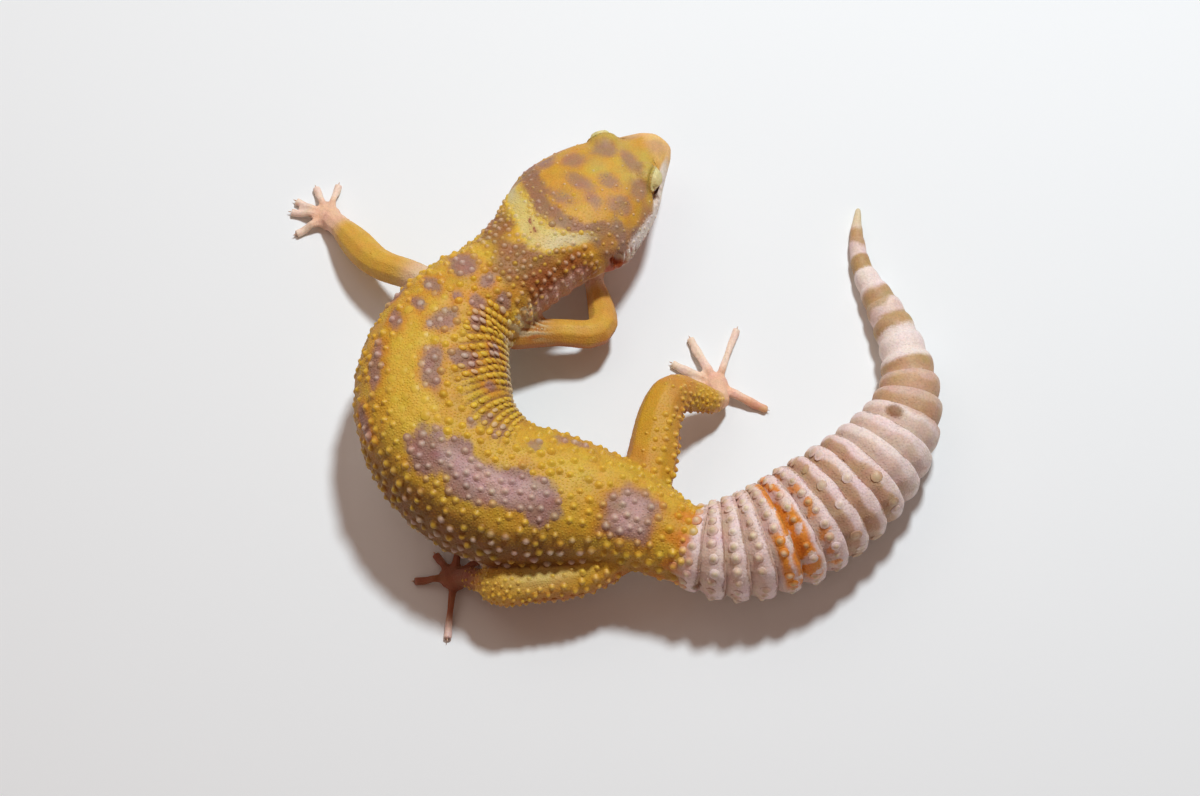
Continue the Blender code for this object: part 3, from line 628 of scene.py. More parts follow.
def joinedFlesh():
    bm = bmesh.new()
    for name in bodyNodes + legNodes:
        part = bmesh.new()
        part.from_mesh(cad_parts[name].data)
        bmesh.ops.remove_doubles(part, verts=part.verts[:], dist=1e-6)
        bmesh.ops.subdivide_edges(part, edges=part.edges[:], cuts=1, use_grid_fill=True)
        part.normal_update()
        digits = name.startswith(("hand", "foot"))
        for vert in part.verts:
            vert.co += vert.normal * skinPlan["swell"] * (0.3 if digits else 1.0) * mm
        merged = bpy.data.meshes.new(name)
        part.to_mesh(merged)
        part.free()
        bm.from_mesh(merged)
        bpy.data.meshes.remove(merged)
    for side in bothSides:
        bmesh.ops.create_icosphere(bm, subdivisions=4, radius=skinPlan["eyeFiller"] * mm,
                                   matrix=Matrix.Translation(eyeCentre(side)))
    return bm


def lens(points, centre, reach, growth, back=False):
    # Magnifies the space round a centre and pushes the rest outwards, or undoes it.
    away = points - centre
    far = np.linalg.norm(away, axis=1)[:, None]
    if back:
        moved = np.where(far < reach * growth, far / growth, far - reach * (growth - 1))
    else:
        moved = np.where(far < reach, far * growth, far + reach * (growth - 1))
    return centre + away * moved / np.maximum(far, 1e-9)


def lensList():
    # The places that get finer faces: the hands, the feet and the eyes.
    kinds, centres = [], []
    for name, leg in legPlan.items():
        kinds.append("hand" if name.startswith("arm") else "foot")
        centres.append(leg["line"][-1])
    for side in bothSides:
        kinds.append("eye")
        centres.append(toPlan(eyeCentre(side))[0])
    centres = np.array(centres, dtype=float)
    made = []
    for i, kind in enumerate(kinds):
        reach, growth = skinPlan["lensGrowth"][kind]
        centre = centres[i].copy()
        made.append((centre, reach, growth))
        centres = lens(centres, centre, reach, growth)
    return made


def setCoords(bm, coords):
    for vert, place in zip(bm.verts, coords):
        vert.co = place


def coordsOf(bm):
    return np.array([v.co[:] for v in bm.verts])


def makeObject(name, bm, material=None):
    mesh = bpy.data.meshes.new(name)
    bm.to_mesh(mesh)
    bm.free()
    mesh.shade_smooth()
    made = bpy.data.objects.new(name, mesh)
    if material:
        mesh.materials.append(material)
    bpy.context.scene.collection.objects.link(made)
    return made


def modified(bm, kind, **settings):
    # The mesh with one modifier applied to it.
    rough = makeObject("rough", bm)
    modifier = rough.modifiers.new("change", kind)
    for name, value in settings.items():
        setattr(modifier, name, value)
    graph = bpy.context.evaluated_depsgraph_get()
    result = bmesh.new()
    result.from_mesh(bpy.data.meshes.new_from_object(rough.evaluated_get(graph)))
    bpy.data.objects.remove(rough)
    return result


def throughLenses(bm, lenses, back=False):
    points = toPlan(coordsOf(bm))
    for item in lenses:
        points = lens(points, *item, back=back)
    setCoords(bm, toFrame(points))


def remeshed(bm):
    # One closed mesh from the solids, made while its finer places are enlarged.
    lenses = lensList()
    throughLenses(bm, lenses)
    result = modified(bm, "REMESH", mode="VOXEL", voxel_size=skinPlan["voxel"] * mm)
    throughLenses(result, lenses[::-1], back=True)
    return result


def nodeOfEach(coords):
    # The solid that each vertex lies nearest to.
    corners, faces, owners = [], [], []
    for name in bodyNodes + legNodes:
        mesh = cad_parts[name].data
        start = len(corners)
        corners += [v.co.copy() for v in mesh.vertices]
        for polygon in mesh.polygons:
            faces.append([start + i for i in polygon.vertices])
            owners.append(name)
    tree = BVHTree.FromPolygons(corners, faces)
    return np.array([owners[tree.find_nearest(c)[2]] for c in coords])


def neighbourMean(values, ends, counts):
    total = np.stack([np.bincount(ends.ravel(), values[ends[:, ::-1].ravel(), i], len(values))
                      for i in range(values.shape[1])], axis=1)
    return total / counts[:, None]


def relax(bm, weight):
    # Smooths away the solids' facets, then gives back the girth that smoothing takes.
    bm.verts.index_update()
    ends = np.array([[v.index for v in e.verts] for e in bm.edges])
    counts = np.bincount(ends.ravel(), minlength=len(bm.verts))
    start = coordsOf(bm)
    coords = start.copy()
    weight = weight[:, None]
    for _ in range(skinPlan["rounds"]):
        coords += 0.5 * weight * (neighbourMean(coords, ends, counts) - coords)
    setCoords(bm, coords)
    bm.normal_update()
    normals = np.array([v.normal[:] for v in bm.verts])
    loss = ((start - coords) * normals).sum(1)[:, None]
    for _ in range(skinPlan["rounds"] // 2):
        loss += 0.5 * weight * (neighbourMean(loss, ends, counts) - loss)
    setCoords(bm, coordsOf(bm) + normals * loss)


def refine(bm, chosen):
    # Cuts every face whose corners are all chosen into four.
    bm.verts.ensure_lookup_table()
    bm.verts.index_update()
    edges = [e for e in bm.edges if chosen[e.verts[0].index] and chosen[e.verts[1].index]]
    bmesh.ops.subdivide_edges(bm, edges=edges, cuts=1, use_grid_fill=True)


eyePlan = {
    "radius": 2.6,
    "halfLength": 2.1,  # the opening between the lids
    "halfHeight": 0.95,
    "forward": 0.5,  # the opening looks forward and down
    "down": 0.3,
    "rimStand": 0.3,
    "padStand": 0.85,
}


def eyeFrame(side):
    # Directions at an eye: forward along the snout, out and up, with the head's roll.
    turn = math.radians(bodyPlan["heading"])
    roll = math.radians(bodyPlan["roll"])
    forward = Vector((math.cos(turn), math.sin(turn), 0))
    left = Vector((-forward.y, forward.x, 0))
    up = Vector((0, 0, 1)) * math.cos(roll) + left * math.sin(roll)
    out = left * math.cos(roll) - Vector((0, 0, 1)) * math.sin(roll)
    return forward, out * (1 if side == "left" else -1), up


def openingAxes(side):
    forward, out, up = eyeFrame(side)
    look = (out + forward * eyePlan["forward"] - up * eyePlan["down"]).normalized()
    along = (forward - look * forward.dot(look)).normalized()
    rise = look.cross(along)
    return along, look, rise if rise.dot(up) > 0 else -rise


def fromEye(coords, side):
    # Millimetres from the middle of an eye: along the opening, across it and outwards.
    along, look, rise = openingAxes(side)
    away = (coords - np.array(eyeCentre(side))) / mm
    return away @ np.array(along), away @ np.array(rise), away @ np.array(look), away


def openingDistance(coords, side):
    # Under 1 inside the opening of an eye, with the place along it and across it.
    x, y, z, _ = fromEye(coords, side)
    bound = eyePlan["halfHeight"] * np.clip(1 - (x / eyePlan["halfLength"]) ** 2, 0.02, 1)
    return np.where(z > 0.3, np.abs(y) / bound, 9.0), x, y


def lidPad(coords, side):
    # How far a point lies from the middle of the puffy upper lid, which ends at 1.
    x, y, z, away = fromEye(coords, side)
    tip = np.degrees(np.arctan2(y, z))
    reach = np.hypot((x - 0.5) / 2.45, (tip - 43) / 28)
    return np.where(np.linalg.norm(away, axis=1) < 4.6, reach, 9.0)


def openLids(coords, side):
    # Inside the opening the skin sinks behind the eyeball, and the lids stand round it.
    distance, x, y = openingDistance(coords, side)
    pad = lidPad(coords, side)
    centre = np.array(eyeCentre(side))
    away = coords - centre
    far = np.linalg.norm(away, axis=1)
    near = far < 4.4 * mm
    radius = eyePlan["radius"]
    inside = (1 - smooth(distance, 0.88, 1.04)) * near
    rim = near * (distance < 8) * (1 - smooth(np.hypot(x / 3.1, (y + 0.2) / 2.0), 0.75, 1.15))
    swell = near * (1 - smooth(pad, 0.45, 1.08))
    crease = np.exp(-((pad - 1.16) / 0.14) ** 2) * near * (y > 0.2)
    lowerRim = np.exp(-((distance - 1.25) / 0.22) ** 2) * near * (y < 0)
    stand = radius + np.maximum(rim * eyePlan["rimStand"] + 0.16 * lowerRim,
                                swell * eyePlan["padStand"])
    weight = smooth(np.maximum(rim, swell), 0, 0.6)
    shaped = far / mm + (stand - far / mm) * weight - 0.28 * crease
    shaped += (radius - 0.6 - shaped) * inside
    return centre + away * (shaped * mm / far)[:, None]


def ringShape(phase):
    # A groove at 0, a slow rise to a full rim and a steep edge just before 1.
    crest, fall = skinPlan["ringCrest"], skinPlan["ringFall"]
    front = 1 - (np.clip(crest - phase, 0, 1) / crest) ** 1.5
    back = 1 - (np.clip(phase - crest, 0, 1) / fall) ** 2.6
    return np.where(phase < crest, front, back)


def foldMask(places):
    mask = smooth(-places.round, 10, 32) * (1 - smooth(-places.round, 112, 128))
    return mask * smooth(places.at, 39, 48) * (1 - smooth(places.at, 76, 88))


def foldPhase(places):
    # The folds lean forward down the flank, less and less towards the hips.
    lean = 0.6 * (1 - 0.75 * smooth(places.at, 60, 82))
    leant = places.at - lean * (places.girth + 3)
    return leant / skinPlan["foldStep"] + 0.22 * ripple(places.points, 5.0, 11)


def foldRidge(places):
    return np.abs(np.cos(math.pi * foldPhase(places))) ** 0.7


def mouthFolds(places):
    # Short pleats at the corner of the mouth: how strong, and the ridges between 0 and 1.
    ahead, rise = places.at - 20.6, places.up - 10.2
    strength = np.exp(-(np.hypot(ahead / 2.2, rise / 1.8)) ** 3) * (places.round < -50)
    ridges = 0.5 + 0.5 * np.cos(2 * math.pi * (ahead * 0.8 + rise * 0.3) / 1.1)
    return strength, ridges


def earHollow(places):
    ahead, rise = places.at - 23.4, places.up - 11.6
    reach = np.hypot(ahead / 0.75, rise / 1.35)
    return np.exp(-reach ** 2) * (np.abs(places.round) > 40)


def skinOffsets(coords, owner):
    # How far each vertex moves along its normal, and along the spine, in millimetres.
    points = toPlan(coords)
    inset = skinPlan["inset"]
    digits = np.isin(owner, digitNodes)
    offset = -skinPlan["swell"] * np.where(digits, 0.3, 1.0)
    slide = np.zeros((len(points), 3))
    body = ~np.isin(owner, legNodes)
    places = Places(points[body])
    at = places.at
    coat = np.interp(at, [0, 20, 27, 36, 108, 118, 150, 202],
                     [inset["head"], inset["head"], inset["neck"], inset["trunk"],
                      inset["trunk"], inset["tail"], inset["tail"], 0.02])
    move = -coat * (1 - 0.6 * smooth(np.abs(places.round), 95, 120))
    move += foldMask(places) * skinPlan["foldHeight"] * (foldRidge(places) - 0.75)
    ring = ringAt(at)
    turn = ring - np.floor(ring)
    top = 1 - 0.8 * smooth(np.abs(places.round), 105, 140)
    strength = skinPlan["ringHeight"] * places.girthRadius * top * smooth(ring, 0, 0.7)
    strength *= (1 - 0.7 * smooth(ring, 12.5, 17)) * (1 - 0.6 * smooth(ring, 22.5, 24.5))
    move += strength * (ringShape(turn) - 0.75)
    lean = strength * skinPlan["ringLean"] * smooth(turn, 0.4, 0.85)
    lean = lean * (1 - smooth(turn, 0.95, 1.0))
    slide[body] = places.ahead * lean[:, None]
    move -= 0.4 * mouthGroove(places)
    pleats, ridges = mouthFolds(places)
    move += 0.6 * pleats * (ridges - 0.35)
    move -= 0.65 * earHollow(places)
    move += 0.07 * ripple(places.points, 1.5, 31) * smooth(at, 24, 40) * (at < tailStart)
    neck = smooth(at, 27, 31) * (1 - smooth(at, 40, 46)) * smooth(-places.round, 30, 60)
    move += 0.16 * neck * np.cos(2 * math.pi * (at / 2.1 + 0.3 * ripple(places.points, 4, 12)))
    for side in (1, -1):
        nostril = np.hypot(np.hypot(at - 1.5, places.out - side * 2.3), places.up - 9.9)
        move -= 0.55 * np.exp(-(nostril / 0.42) ** 2)
    offset[body] += move
    for name, mine, along, _, length in eachLeg(points, owner):
        toe = smooth(along / length, 0.88, 0.97)
        offset[mine] -= inset["leg"] + (inset["toe"] - inset["leg"]) * toe
        if name == "arm_right":
            folds, ridges = armpitFolds(points[mine])
            offset[mine] += 0.3 * folds * (ridges - 0.6)
        for where, wide, rise in legPlan[name].get("swellings", []):
            offset[mine] += rise * np.exp(-((along / length - where) / wide) ** 2)
    return offset, slide


def smallForms(coords):
    # The skin round the eyes, at the corner of the mouth, in the ears and on the digits.
    points, nearest = toPlan(coords), nodeOfEach(coords)
    places = Places(points)
    chosen = (mouthFolds(places)[0] > 0.02) | (earHollow(places) > 0.05)
    chosen &= ~np.isin(nearest, legNodes)
    for side in bothSides:
        distance, x, y = openingDistance(coords, side)
        far = np.linalg.norm(coords - np.array(eyeCentre(side)), axis=1)
        chosen |= (far < 3.9 * mm) & (distance < 9) & (np.abs(x) < 3.0) & (np.abs(y) < 2.8)
    for leg in legPlan.values():
        far = np.linalg.norm(points[:, :2] - np.array(leg["line"][-1][:2]), axis=1)
        chosen |= (nearest == leg["nodes"][2]) & (far > 3.2)
    return chosen


def buildSkin():
    bm = remeshed(joinedFlesh())
    owner = nodeOfEach(coordsOf(bm))
    places = Places(toPlan(coordsOf(bm)))
    softness = skinPlan["softness"]
    weight = np.full(len(owner), softness["body"])
    weight = np.where((places.at < 26) & ~np.isin(owner, legNodes), softness["head"], weight)
    for _, mine, along, _, length in eachLeg(places.points, owner):
        toe = smooth(along / length, 0.82, 0.95)
        weight[mine] = softness["leg"] + (softness["toe"] - softness["leg"]) * toe
    relax(bm, weight)
    print("skin remeshed:", len(bm.faces), "faces")

    # finer faces at the tail's grooves, and finer still at the small forms
    places = Places(toPlan(coordsOf(bm)))
    ring = ringAt(places.at)
    turn = ring - np.floor(ring)
    chosen = (turn > skinPlan["ringCrest"]) | (turn < skinPlan["ringGroove"])
    chosen &= (ring > 0) & (ring < 21)
    chosen &= (np.abs(places.round) < 112) & ~np.isin(owner, legNodes)
    refine(bm, chosen | smallForms(coordsOf(bm)))
    refine(bm, smallForms(coordsOf(bm)))
    bm.normal_update()
    coords = coordsOf(bm)
    owner = nodeOfEach(coords)
    normals = np.array([v.normal[:] for v in bm.verts])
    offset, slide = skinOffsets(coords, owner)
    coords += (normals * offset[:, None] + slide) * mm
    for side in bothSides:
        coords = openLids(coords, side)
    coords = toFrame(drawnDigits(toPlan(coords), owner))
    coords[:, 2] = np.maximum(coords[:, 2], 0.0)
    setCoords(bm, coords)
    bm = lightened(bm)
    print("skin shaped:", sum(len(f.verts) - 2 for f in bm.faces), "triangles")
    return bm, nodeOfEach(coordsOf(bm))


def drawnDigits(points, owner):
    # Draws each digit out to its full length, with a round tip, and widens the palm.
    points = points.copy()
    root, pad = skinPlan["digitRoot"], skinPlan["tipRadius"]
    for name, leg in legPlan.items():
        mine = np.flatnonzero(owner == leg["nodes"][2])
        palm = np.array(leg["line"][-1][:2])
        away = points[mine, :2] - palm
        height = points[mine, 2]
        moved = points[mine]
        far = np.linalg.norm(away, axis=1)
        spread = smooth(far, 0.3, 1.4) * (1 - smooth(far, 1.8, 3.8))
        spread *= 0.2 if name.startswith("arm") else 0.0
        moved[:, :2] += away * spread[:, None]
        for heading, length in leg["digits"]:
            ahead = np.array([math.cos(math.radians(heading)), math.sin(math.radians(heading))])
            left = np.array([-ahead[1], ahead[0]])
            along, aside = away @ ahead, away @ left
            tip = along[(np.abs(aside) < 0.9) & (along > 2)].max()
            last = tip - 1.0  # where the round end starts
            stretch = (length - pad - root) / (last - root)
            onDigit = (along > root) * (1 - smooth(np.abs(aside), 1.1, 1.7))
            drawn = along + np.clip(along - root, 0, last - root) * (stretch - 1) * onDigit
            polar = np.radians(90) * np.clip((along - last) / (tip - last), 0, 1)
            drawn = np.where(along > last, length - pad + pad * np.sin(polar), drawn)
            weight = smooth(along, last - 2.4, last - 0.3) * (np.abs(aside) < 1.2)
            weight *= smooth(along, root + 0.6, root + 1.6)
            axis = 0.5 + (0.92 * pad - 0.5) * weight
            radius = np.maximum(np.hypot(aside, height - 0.5), 0.02)
            grown = radius + (pad * np.cos(polar) - radius) * weight
            knuckle = 0.3 * onDigit * np.exp(-((along - root - 1.2) / 1.1) ** 2)
            knuckle *= smooth(height, 0.3, 1.2)
            across = (aside * grown / radius)[:, None] * left
            shaped = np.c_[palm + drawn[:, None] * ahead + across,
                           axis + (height - 0.5) * grown / radius + knuckle]
            share = (onDigit * smooth(along, root, root + 1.6))[:, None]
            moved += (shaped - moved) * share
        points[mine] = moved
    return points


def lightened(bm):
    # Takes out the faces that the flat places don't need.
    total = sum(len(f.verts) - 2 for f in bm.faces)
    return modified(bm, "DECIMATE", ratio=skinPlan["triangles"] / total)


def tintOf(points, owner):
    # Colour of the skin at any places on it, in plan millimetres.
    tint = np.zeros((len(points), 3))
    body = ~np.isin(owner, legNodes)
    if body.any():
        tint[body] = bodyTint(Places(points[body]))
    for name, mine, along, around, length in eachLeg(points, owner):
        tint[mine] = legTint(points[mine], along, around, length, name)
    coords = toFrame(points)
    for side in bothSides:
        distance, x, y = openingDistance(coords, side)
        near = np.linalg.norm(coords - np.array(eyeCentre(side)), axis=1) < 4.5 * mm
        pad = lidPad(coords, side)
        # Painted shade in the crease above the puffy upper lid.
        lidFoldShade = near * np.exp(-((pad - 1.22) / 0.2) ** 2)
        tint = blend(tint, 0.55 * lidFoldShade * smooth(y, 0.0, 1.0), hues["lidCreaseShade"])
        # Painted shadow in the pocket at the rear corner of the eye.
        cornerShadow = np.exp(-(np.hypot((x + 2.1) / 0.8, (y - 0.5) / 0.9)) ** 2)
        tint = blend(tint, near * cornerShadow, hues["lidRim"])
        tint = blend(tint, near * (1 - smooth(pad, 0.86, 1.04)), hues["lid"])
        rim = near * (distance < 9) * (1 - smooth(distance, 1.2, 2.0)) * (y < 0)
        tint = blend(tint, 0.75 * rim, hues["lidRim"])
        # Painted shade on the skin that sinks behind the eyeball inside the opening.
        tint = blend(tint, near * (1 - smooth(distance, 0.92, 1.05)), hues["crease"] * 0.3)
    return tint


def setTint(mesh, tint):
    layer = mesh.color_attributes.new("tint", "FLOAT_COLOR", "POINT")
    layer.data.foreach_set("color", np.c_[tint, np.ones(len(tint))].astype(np.float32).ravel())


# ---- Materials

def addNode(tree, kind, settings=None, links=()):
    # One node with its settings, its fixed socket values and its incoming links.
    node = tree.nodes.new(kind)
    for name, value in (settings or {}).items():
        if name in node.inputs:
            node.inputs[name].default_value = value
        else:
            setattr(node, name, value)
    for socket, source in links:
        tree.links.new(source, node.inputs[socket])
    return node


def opaque(colour):
    return (*linear(colour), 1)


def setSockets(shader, values):
    for name, value in values.items():
        shader.inputs[name].default_value = value


def startMaterial(name):
    material = bpy.data.materials.new(name)
    material.use_nodes = True
    tree = material.node_tree
    return material, tree, tree.nodes["Principled BSDF"]


def scaledSkin(name, grainWidth, bumpDepth, seamDepth, roughness):
    # Gecko skin is matt and finely granular: small beads of scale with darker seams between.
    material, tree, shader = startMaterial(name)
    place = addNode(tree, "ShaderNodeTexCoord").outputs["Object"]
    tint = addNode(tree, "ShaderNodeAttribute", {"attribute_name": "tint"}).outputs["Color"]
    beads = addNode(tree, "ShaderNodeTexVoronoi",
                    {"feature": "F1", "Scale": 1 / (grainWidth * mm), "Randomness": 0.85},
                    [("Vector", place)])
    seams = addNode(tree, "ShaderNodeMapRange",
                    {"From Min": 0.35, "From Max": 0.75, "To Min": 0.0, "To Max": seamDepth},
                    [("Value", beads.outputs["Distance"])])
    darker = addNode(tree, "ShaderNodeMix",
                     {"data_type": "RGBA", "blend_type": "MULTIPLY", "B": (0.42, 0.27, 0.18, 1)},
                     [("Factor", seams.outputs[0]), ("A", tint)])
    mottle = addNode(tree, "ShaderNodeTexNoise", {"Scale": 420.0, "Detail": 3.0},
                     [("Vector", place)])
    warm = addNode(tree, "ShaderNodeMix",
                   {"data_type": "RGBA", "blend_type": "SOFT_LIGHT", "Factor": 0.3},
                   [("A", darker.outputs["Result"]), ("B", mottle.outputs["Color"])])
    bump = addNode(tree, "ShaderNodeBump", {"Strength": 0.55, "Distance": bumpDepth * mm,
                                            "invert": True},
                   [("Height", beads.outputs["Distance"])])
    tree.links.new(warm.outputs["Result"], shader.inputs["Base Color"])
    tree.links.new(bump.outputs["Normal"], shader.inputs["Normal"])
    setSockets(shader, {"Roughness": roughness, "Specular IOR Level": 0.3,
                        "Subsurface Weight": 0.12, "Subsurface Radius": (1.0, 0.45, 0.25),
                        "Subsurface Scale": 0.9 * mm})
    return material


skinMaterial = scaledSkin("granular gecko skin", 0.4, 0.05, 0.16, 0.52)

bm, owner = buildSkin()
skinCoords = coordsOf(bm)
skinPoints = toPlan(skinCoords)
skin = makeObject("skin", bm, skinMaterial)
setTint(skin.data, tintOf(skinPoints, owner))
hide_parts(*bodyNodes, *legNodes)
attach(skin, "root")
print("skin coloured")

# ---- Eyes

def wetEye():
    # An albino's eye: a silvery orange iris with fine red veins, a slit pupil and a wet front.
    material, tree, shader = startMaterial("wet albino eye")
    gaze = addNode(tree, "ShaderNodeAttribute", {"attribute_name": "gaze"}).outputs["Vector"]
    parts = addNode(tree, "ShaderNodeSeparateXYZ", None, [("Vector", gaze)])
    across = addNode(tree, "ShaderNodeMath", {"operation": "ABSOLUTE"}, [(0, parts.outputs["X"])])
    width = addNode(tree, "ShaderNodeMapRange", {"From Min": 0.09, "From Max": 0.15},
                    [("Value", across.outputs[0])])
    veins = addNode(tree, "ShaderNodeTexWave", {"Scale": 2.2, "Distortion": 9.0, "Detail": 3.0,
                                                "Detail Scale": 2.0}, [("Vector", gaze)])
    iris = addNode(tree, "ShaderNodeMix",
                   {"data_type": "RGBA", "A": opaque("#B5793E"), "B": opaque("#7E3A22")},
                   [("Factor", veins.outputs["Fac"])])
    whole = addNode(tree, "ShaderNodeMix",
                    {"data_type": "RGBA", "A": opaque("#2A0B0A")},
                    [("Factor", width.outputs[0]), ("B", iris.outputs["Result"])])
    tree.links.new(whole.outputs["Result"], shader.inputs["Base Color"])
    setSockets(shader, {"Roughness": 0.08, "Coat Weight": 0.6, "Coat Roughness": 0.03})
    return material


eyeMaterial = wetEye()
for side in bothSides:
    along, look, rise = openingAxes(side)
    bm = bmesh.new()
    bmesh.ops.create_uvsphere(bm, u_segments=48, v_segments=32, radius=eyePlan["radius"] * mm,
                              matrix=Matrix.Translation(eyeCentre(side)))
    away = (coordsOf(bm) - np.array(eyeCentre(side))) / (eyePlan["radius"] * mm)
    gaze = np.c_[away @ np.array(along), away @ np.array(rise), away @ np.array(look)]
    eye = makeObject(f"eyeball_{side}", bm, eyeMaterial)
    layer = eye.data.attributes.new("gaze", "FLOAT_VECTOR", "POINT")
    layer.data.foreach_set("vector", gaze.astype(np.float32).ravel())
    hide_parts(f"eye_{side}")
    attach(eye, "root")
print("eyes set")

# ---- Warts and granules: every one is solid, and they are joined into a few pieces

random.seed(7)
numbers = np.random.RandomState(7)


def turnedBead(profile, sides):
    # A bead turned from its profile of radius and height, closed below.
    bm = bmesh.new()
    verts = [bm.verts.new((radius, 0, height)) for radius, height in profile]
    edges = [bm.edges.new(pair) for pair in zip(verts[:-1], verts[1:])]
    bmesh.ops.spin(bm, geom=verts + edges, cent=(0, 0, 0), axis=(0, 0, 1), angle=math.tau,
                   steps=sides, use_merge=True)
    bmesh.ops.remove_doubles(bm, verts=bm.verts[:], dist=1e-4)
    bmesh.ops.edgeloop_fill(bm, edges=[e for e in bm.edges if e.is_boundary])
    bmesh.ops.recalc_face_normals(bm, faces=bm.faces[:])
    return bm


def unwrapPlace(points, owner):
    # Where a point falls on the flattened skin: the body above, the four legs below it.
    places = Places(points)
    u = 0.02 + 0.96 * np.clip(places.at, 0, 205) / 205
    v = 0.36 + 0.62 * (places.round + 180) / 360
    for name, mine, along, around, length in eachLeg(points, owner):
        u[mine] = 0.02 + 0.245 * list(legPlan).index(name) + 0.22 * along / length
        v[mine] = 0.02 + 0.3 * (around + 180) / 360
    return np.c_[u, v]


bakePatch = 0.0015  # half the width of one bead's patch in the OFBake map


def beadPiece(name, seats, profile, sides, material):
    # Every seat gets a copy of the bead. The bead takes the skin's colour at its foot.
    bead = turnedBead(profile, sides)
    bead.verts.index_update()
    shape = np.array([v.co[:] for v in bead.verts])
    faces = [[v.index for v in f.verts] for f in bead.faces]
    bead.free()
    place, normal = seats["place"], seats["normal"]
    run = seats["run"] - normal * (seats["run"] * normal).sum(1)[:, None]
    run /= np.maximum(np.linalg.norm(run, axis=1), 1e-9)[:, None]
    side = np.cross(normal, run)
    local = shape[None] * seats["size"][:, None, :]
    coords = (place[:, None] + run[:, None] * local[..., :1] + side[:, None] * local[..., 1:2]
              + normal[:, None] * local[..., 2:])
    count, beads = len(shape), len(place)
    sizes = np.array([len(f) for f in faces])
    loops = (np.concatenate(faces)[None] + np.arange(beads)[:, None] * count).ravel()
    starts = np.r_[0, np.cumsum(np.tile(sizes, beads))[:-1]]
    mesh = bpy.data.meshes.new(name)
    mesh.vertices.add(count * beads)
    mesh.vertices.foreach_set("co", toFrame(coords.reshape(-1, 3)).astype(np.float32).ravel())
    mesh.loops.add(len(loops))
    mesh.loops.foreach_set("vertex_index", loops.astype(np.int32))
    mesh.polygons.add(len(starts))
    mesh.polygons.foreach_set("loop_start", starts.astype(np.int32))
    mesh.update(calc_edges=True)
    mesh.validate()
    mesh.shade_smooth()
    mesh.materials.append(material)
    high = smooth(shape[:, 2] / shape[:, 2].max(), 0.0, 0.75)[None, :, None]
    tint = seats["foot"][:, None] * (1 - high) + seats["tint"][:, None] * high
    setTint(mesh, tint.reshape(-1, 3))
    roots = unwrapPlace(place, seats["owner"])
    reach = np.abs(shape[:, :2]).max()
    flat = (roots[:, None] + shape[None, :, :2] / reach * bakePatch).reshape(-1, 2)
    layer = mesh.uv_layers.new(name="OFBake")
    layer.data.foreach_set("uv", flat[loops].astype(np.float32).ravel())
    piece = bpy.data.objects.new(name, mesh)
    bpy.context.scene.collection.objects.link(piece)
    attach(piece, "root")
    print(name, beads, "beads,", beads * int((sizes - 2).sum()), "triangles")


def skinSurface():
    # The skin as triangles with corner normals, to pick places on.
    mesh = skin.data
    mesh.calc_loop_triangles()
    triangles = np.empty(len(mesh.loop_triangles) * 3, np.int32)
    mesh.loop_triangles.foreach_get("vertices", triangles)
    normals = np.empty(len(mesh.vertices) * 3, np.float32)
    mesh.vertices.foreach_get("normal", normals)
    return triangles.reshape(-1, 3), normals.reshape(-1, 3).astype(float)


skinTriangles, skinNormals = skinSurface()
skinTree = BVHTree.FromPolygons([Vector(c) for c in skinCoords], skinTriangles.tolist())


def samples(chosen, spacing, oversample=9.0):
    # Random places on the chosen faces, thick enough to be thinned to the spacing.
    triangles = skinTriangles[chosen[skinTriangles].all(1)]
    corners = skinPoints[triangles]
    area = np.linalg.norm(np.cross(corners[:, 1] - corners[:, 0], corners[:, 2] - corners[:, 0]),
                          axis=1) / 2
    wanted = int(area.sum() / spacing**2 * oversample)
    picked = np.searchsorted(np.cumsum(area) / area.sum(), numbers.rand(wanted))
    picked = np.minimum(picked, len(triangles) - 1)
    a, b = numbers.rand(2, wanted)
    flip = a + b > 1
    a, b = np.where(flip, 1 - a, a), np.where(flip, 1 - b, b)
    weights = np.c_[1 - a - b, a, b][:, :, None]
    place = (corners[picked] * weights).sum(1)
    normal = (skinNormals[triangles[picked]] * weights).sum(1)
    normal /= np.linalg.norm(normal, axis=1)[:, None]
    return {"place": place, "normal": normal, "owner": owner[triangles[picked, 0]]}


def treeOf(places):
    tree = KDTree(len(places))
    for i, place in enumerate(places):
        tree.insert(place, i)
    tree.balance()
    return tree


def pick(found, keep):
    return {key: value[keep] for key, value in found.items()}


def thinned(found, spacing):
    # Keeps places that lie at least their own spacing apart.
    place = found["place"]
    tree = treeOf(place)
    free = np.ones(len(place), bool)
    kept = []
    for i in range(len(place)):
        if free[i]:
            kept.append(i)
            for _, j, _ in tree.find_range(place[i], spacing[i]):
                free[j] = False
    return pick(found, kept)


def clearOf(found, others):
    # Leaves out the places that lie under any of the others.
    tree = treeOf(others["place"])
    keep = []
    for place in found["place"]:
        _, i, far = tree.find(place)
        keep.append(far > others["size"][i, 0])
    return pick(found, np.array(keep))


def joinSeats(*lists):
    return {key: np.concatenate([seats[key] for seats in lists]) for key in lists[0]}


def wartHue(base, pale, gold):
    # A wart is paler than a mauve mark and brighter than the gold skin.
    hue = blend(base, pale, hues["wartPale"])
    return blend(hue, gold, hues["wartGold"])


wartProfile = [(1.55, -0.25), (1.4, 0.0), (1.12, 0.13), (0.84, 0.4), (0.5, 0.78), (0.0, 0.95)]
beadProfile = [(1.0, -0.4), (1.0, 0.0), (0.7, 0.62), (0.0, 0.88)]
granuleProfile = [(1.0, -0.4), (0.8, 0.3), (0.0, 0.55)]


def clearFace(places):
    # Off the pleats at the mouth's corner and out of the ears.
    return (mouthFolds(places)[0] < 0.1) & (earHollow(places) < 0.1)


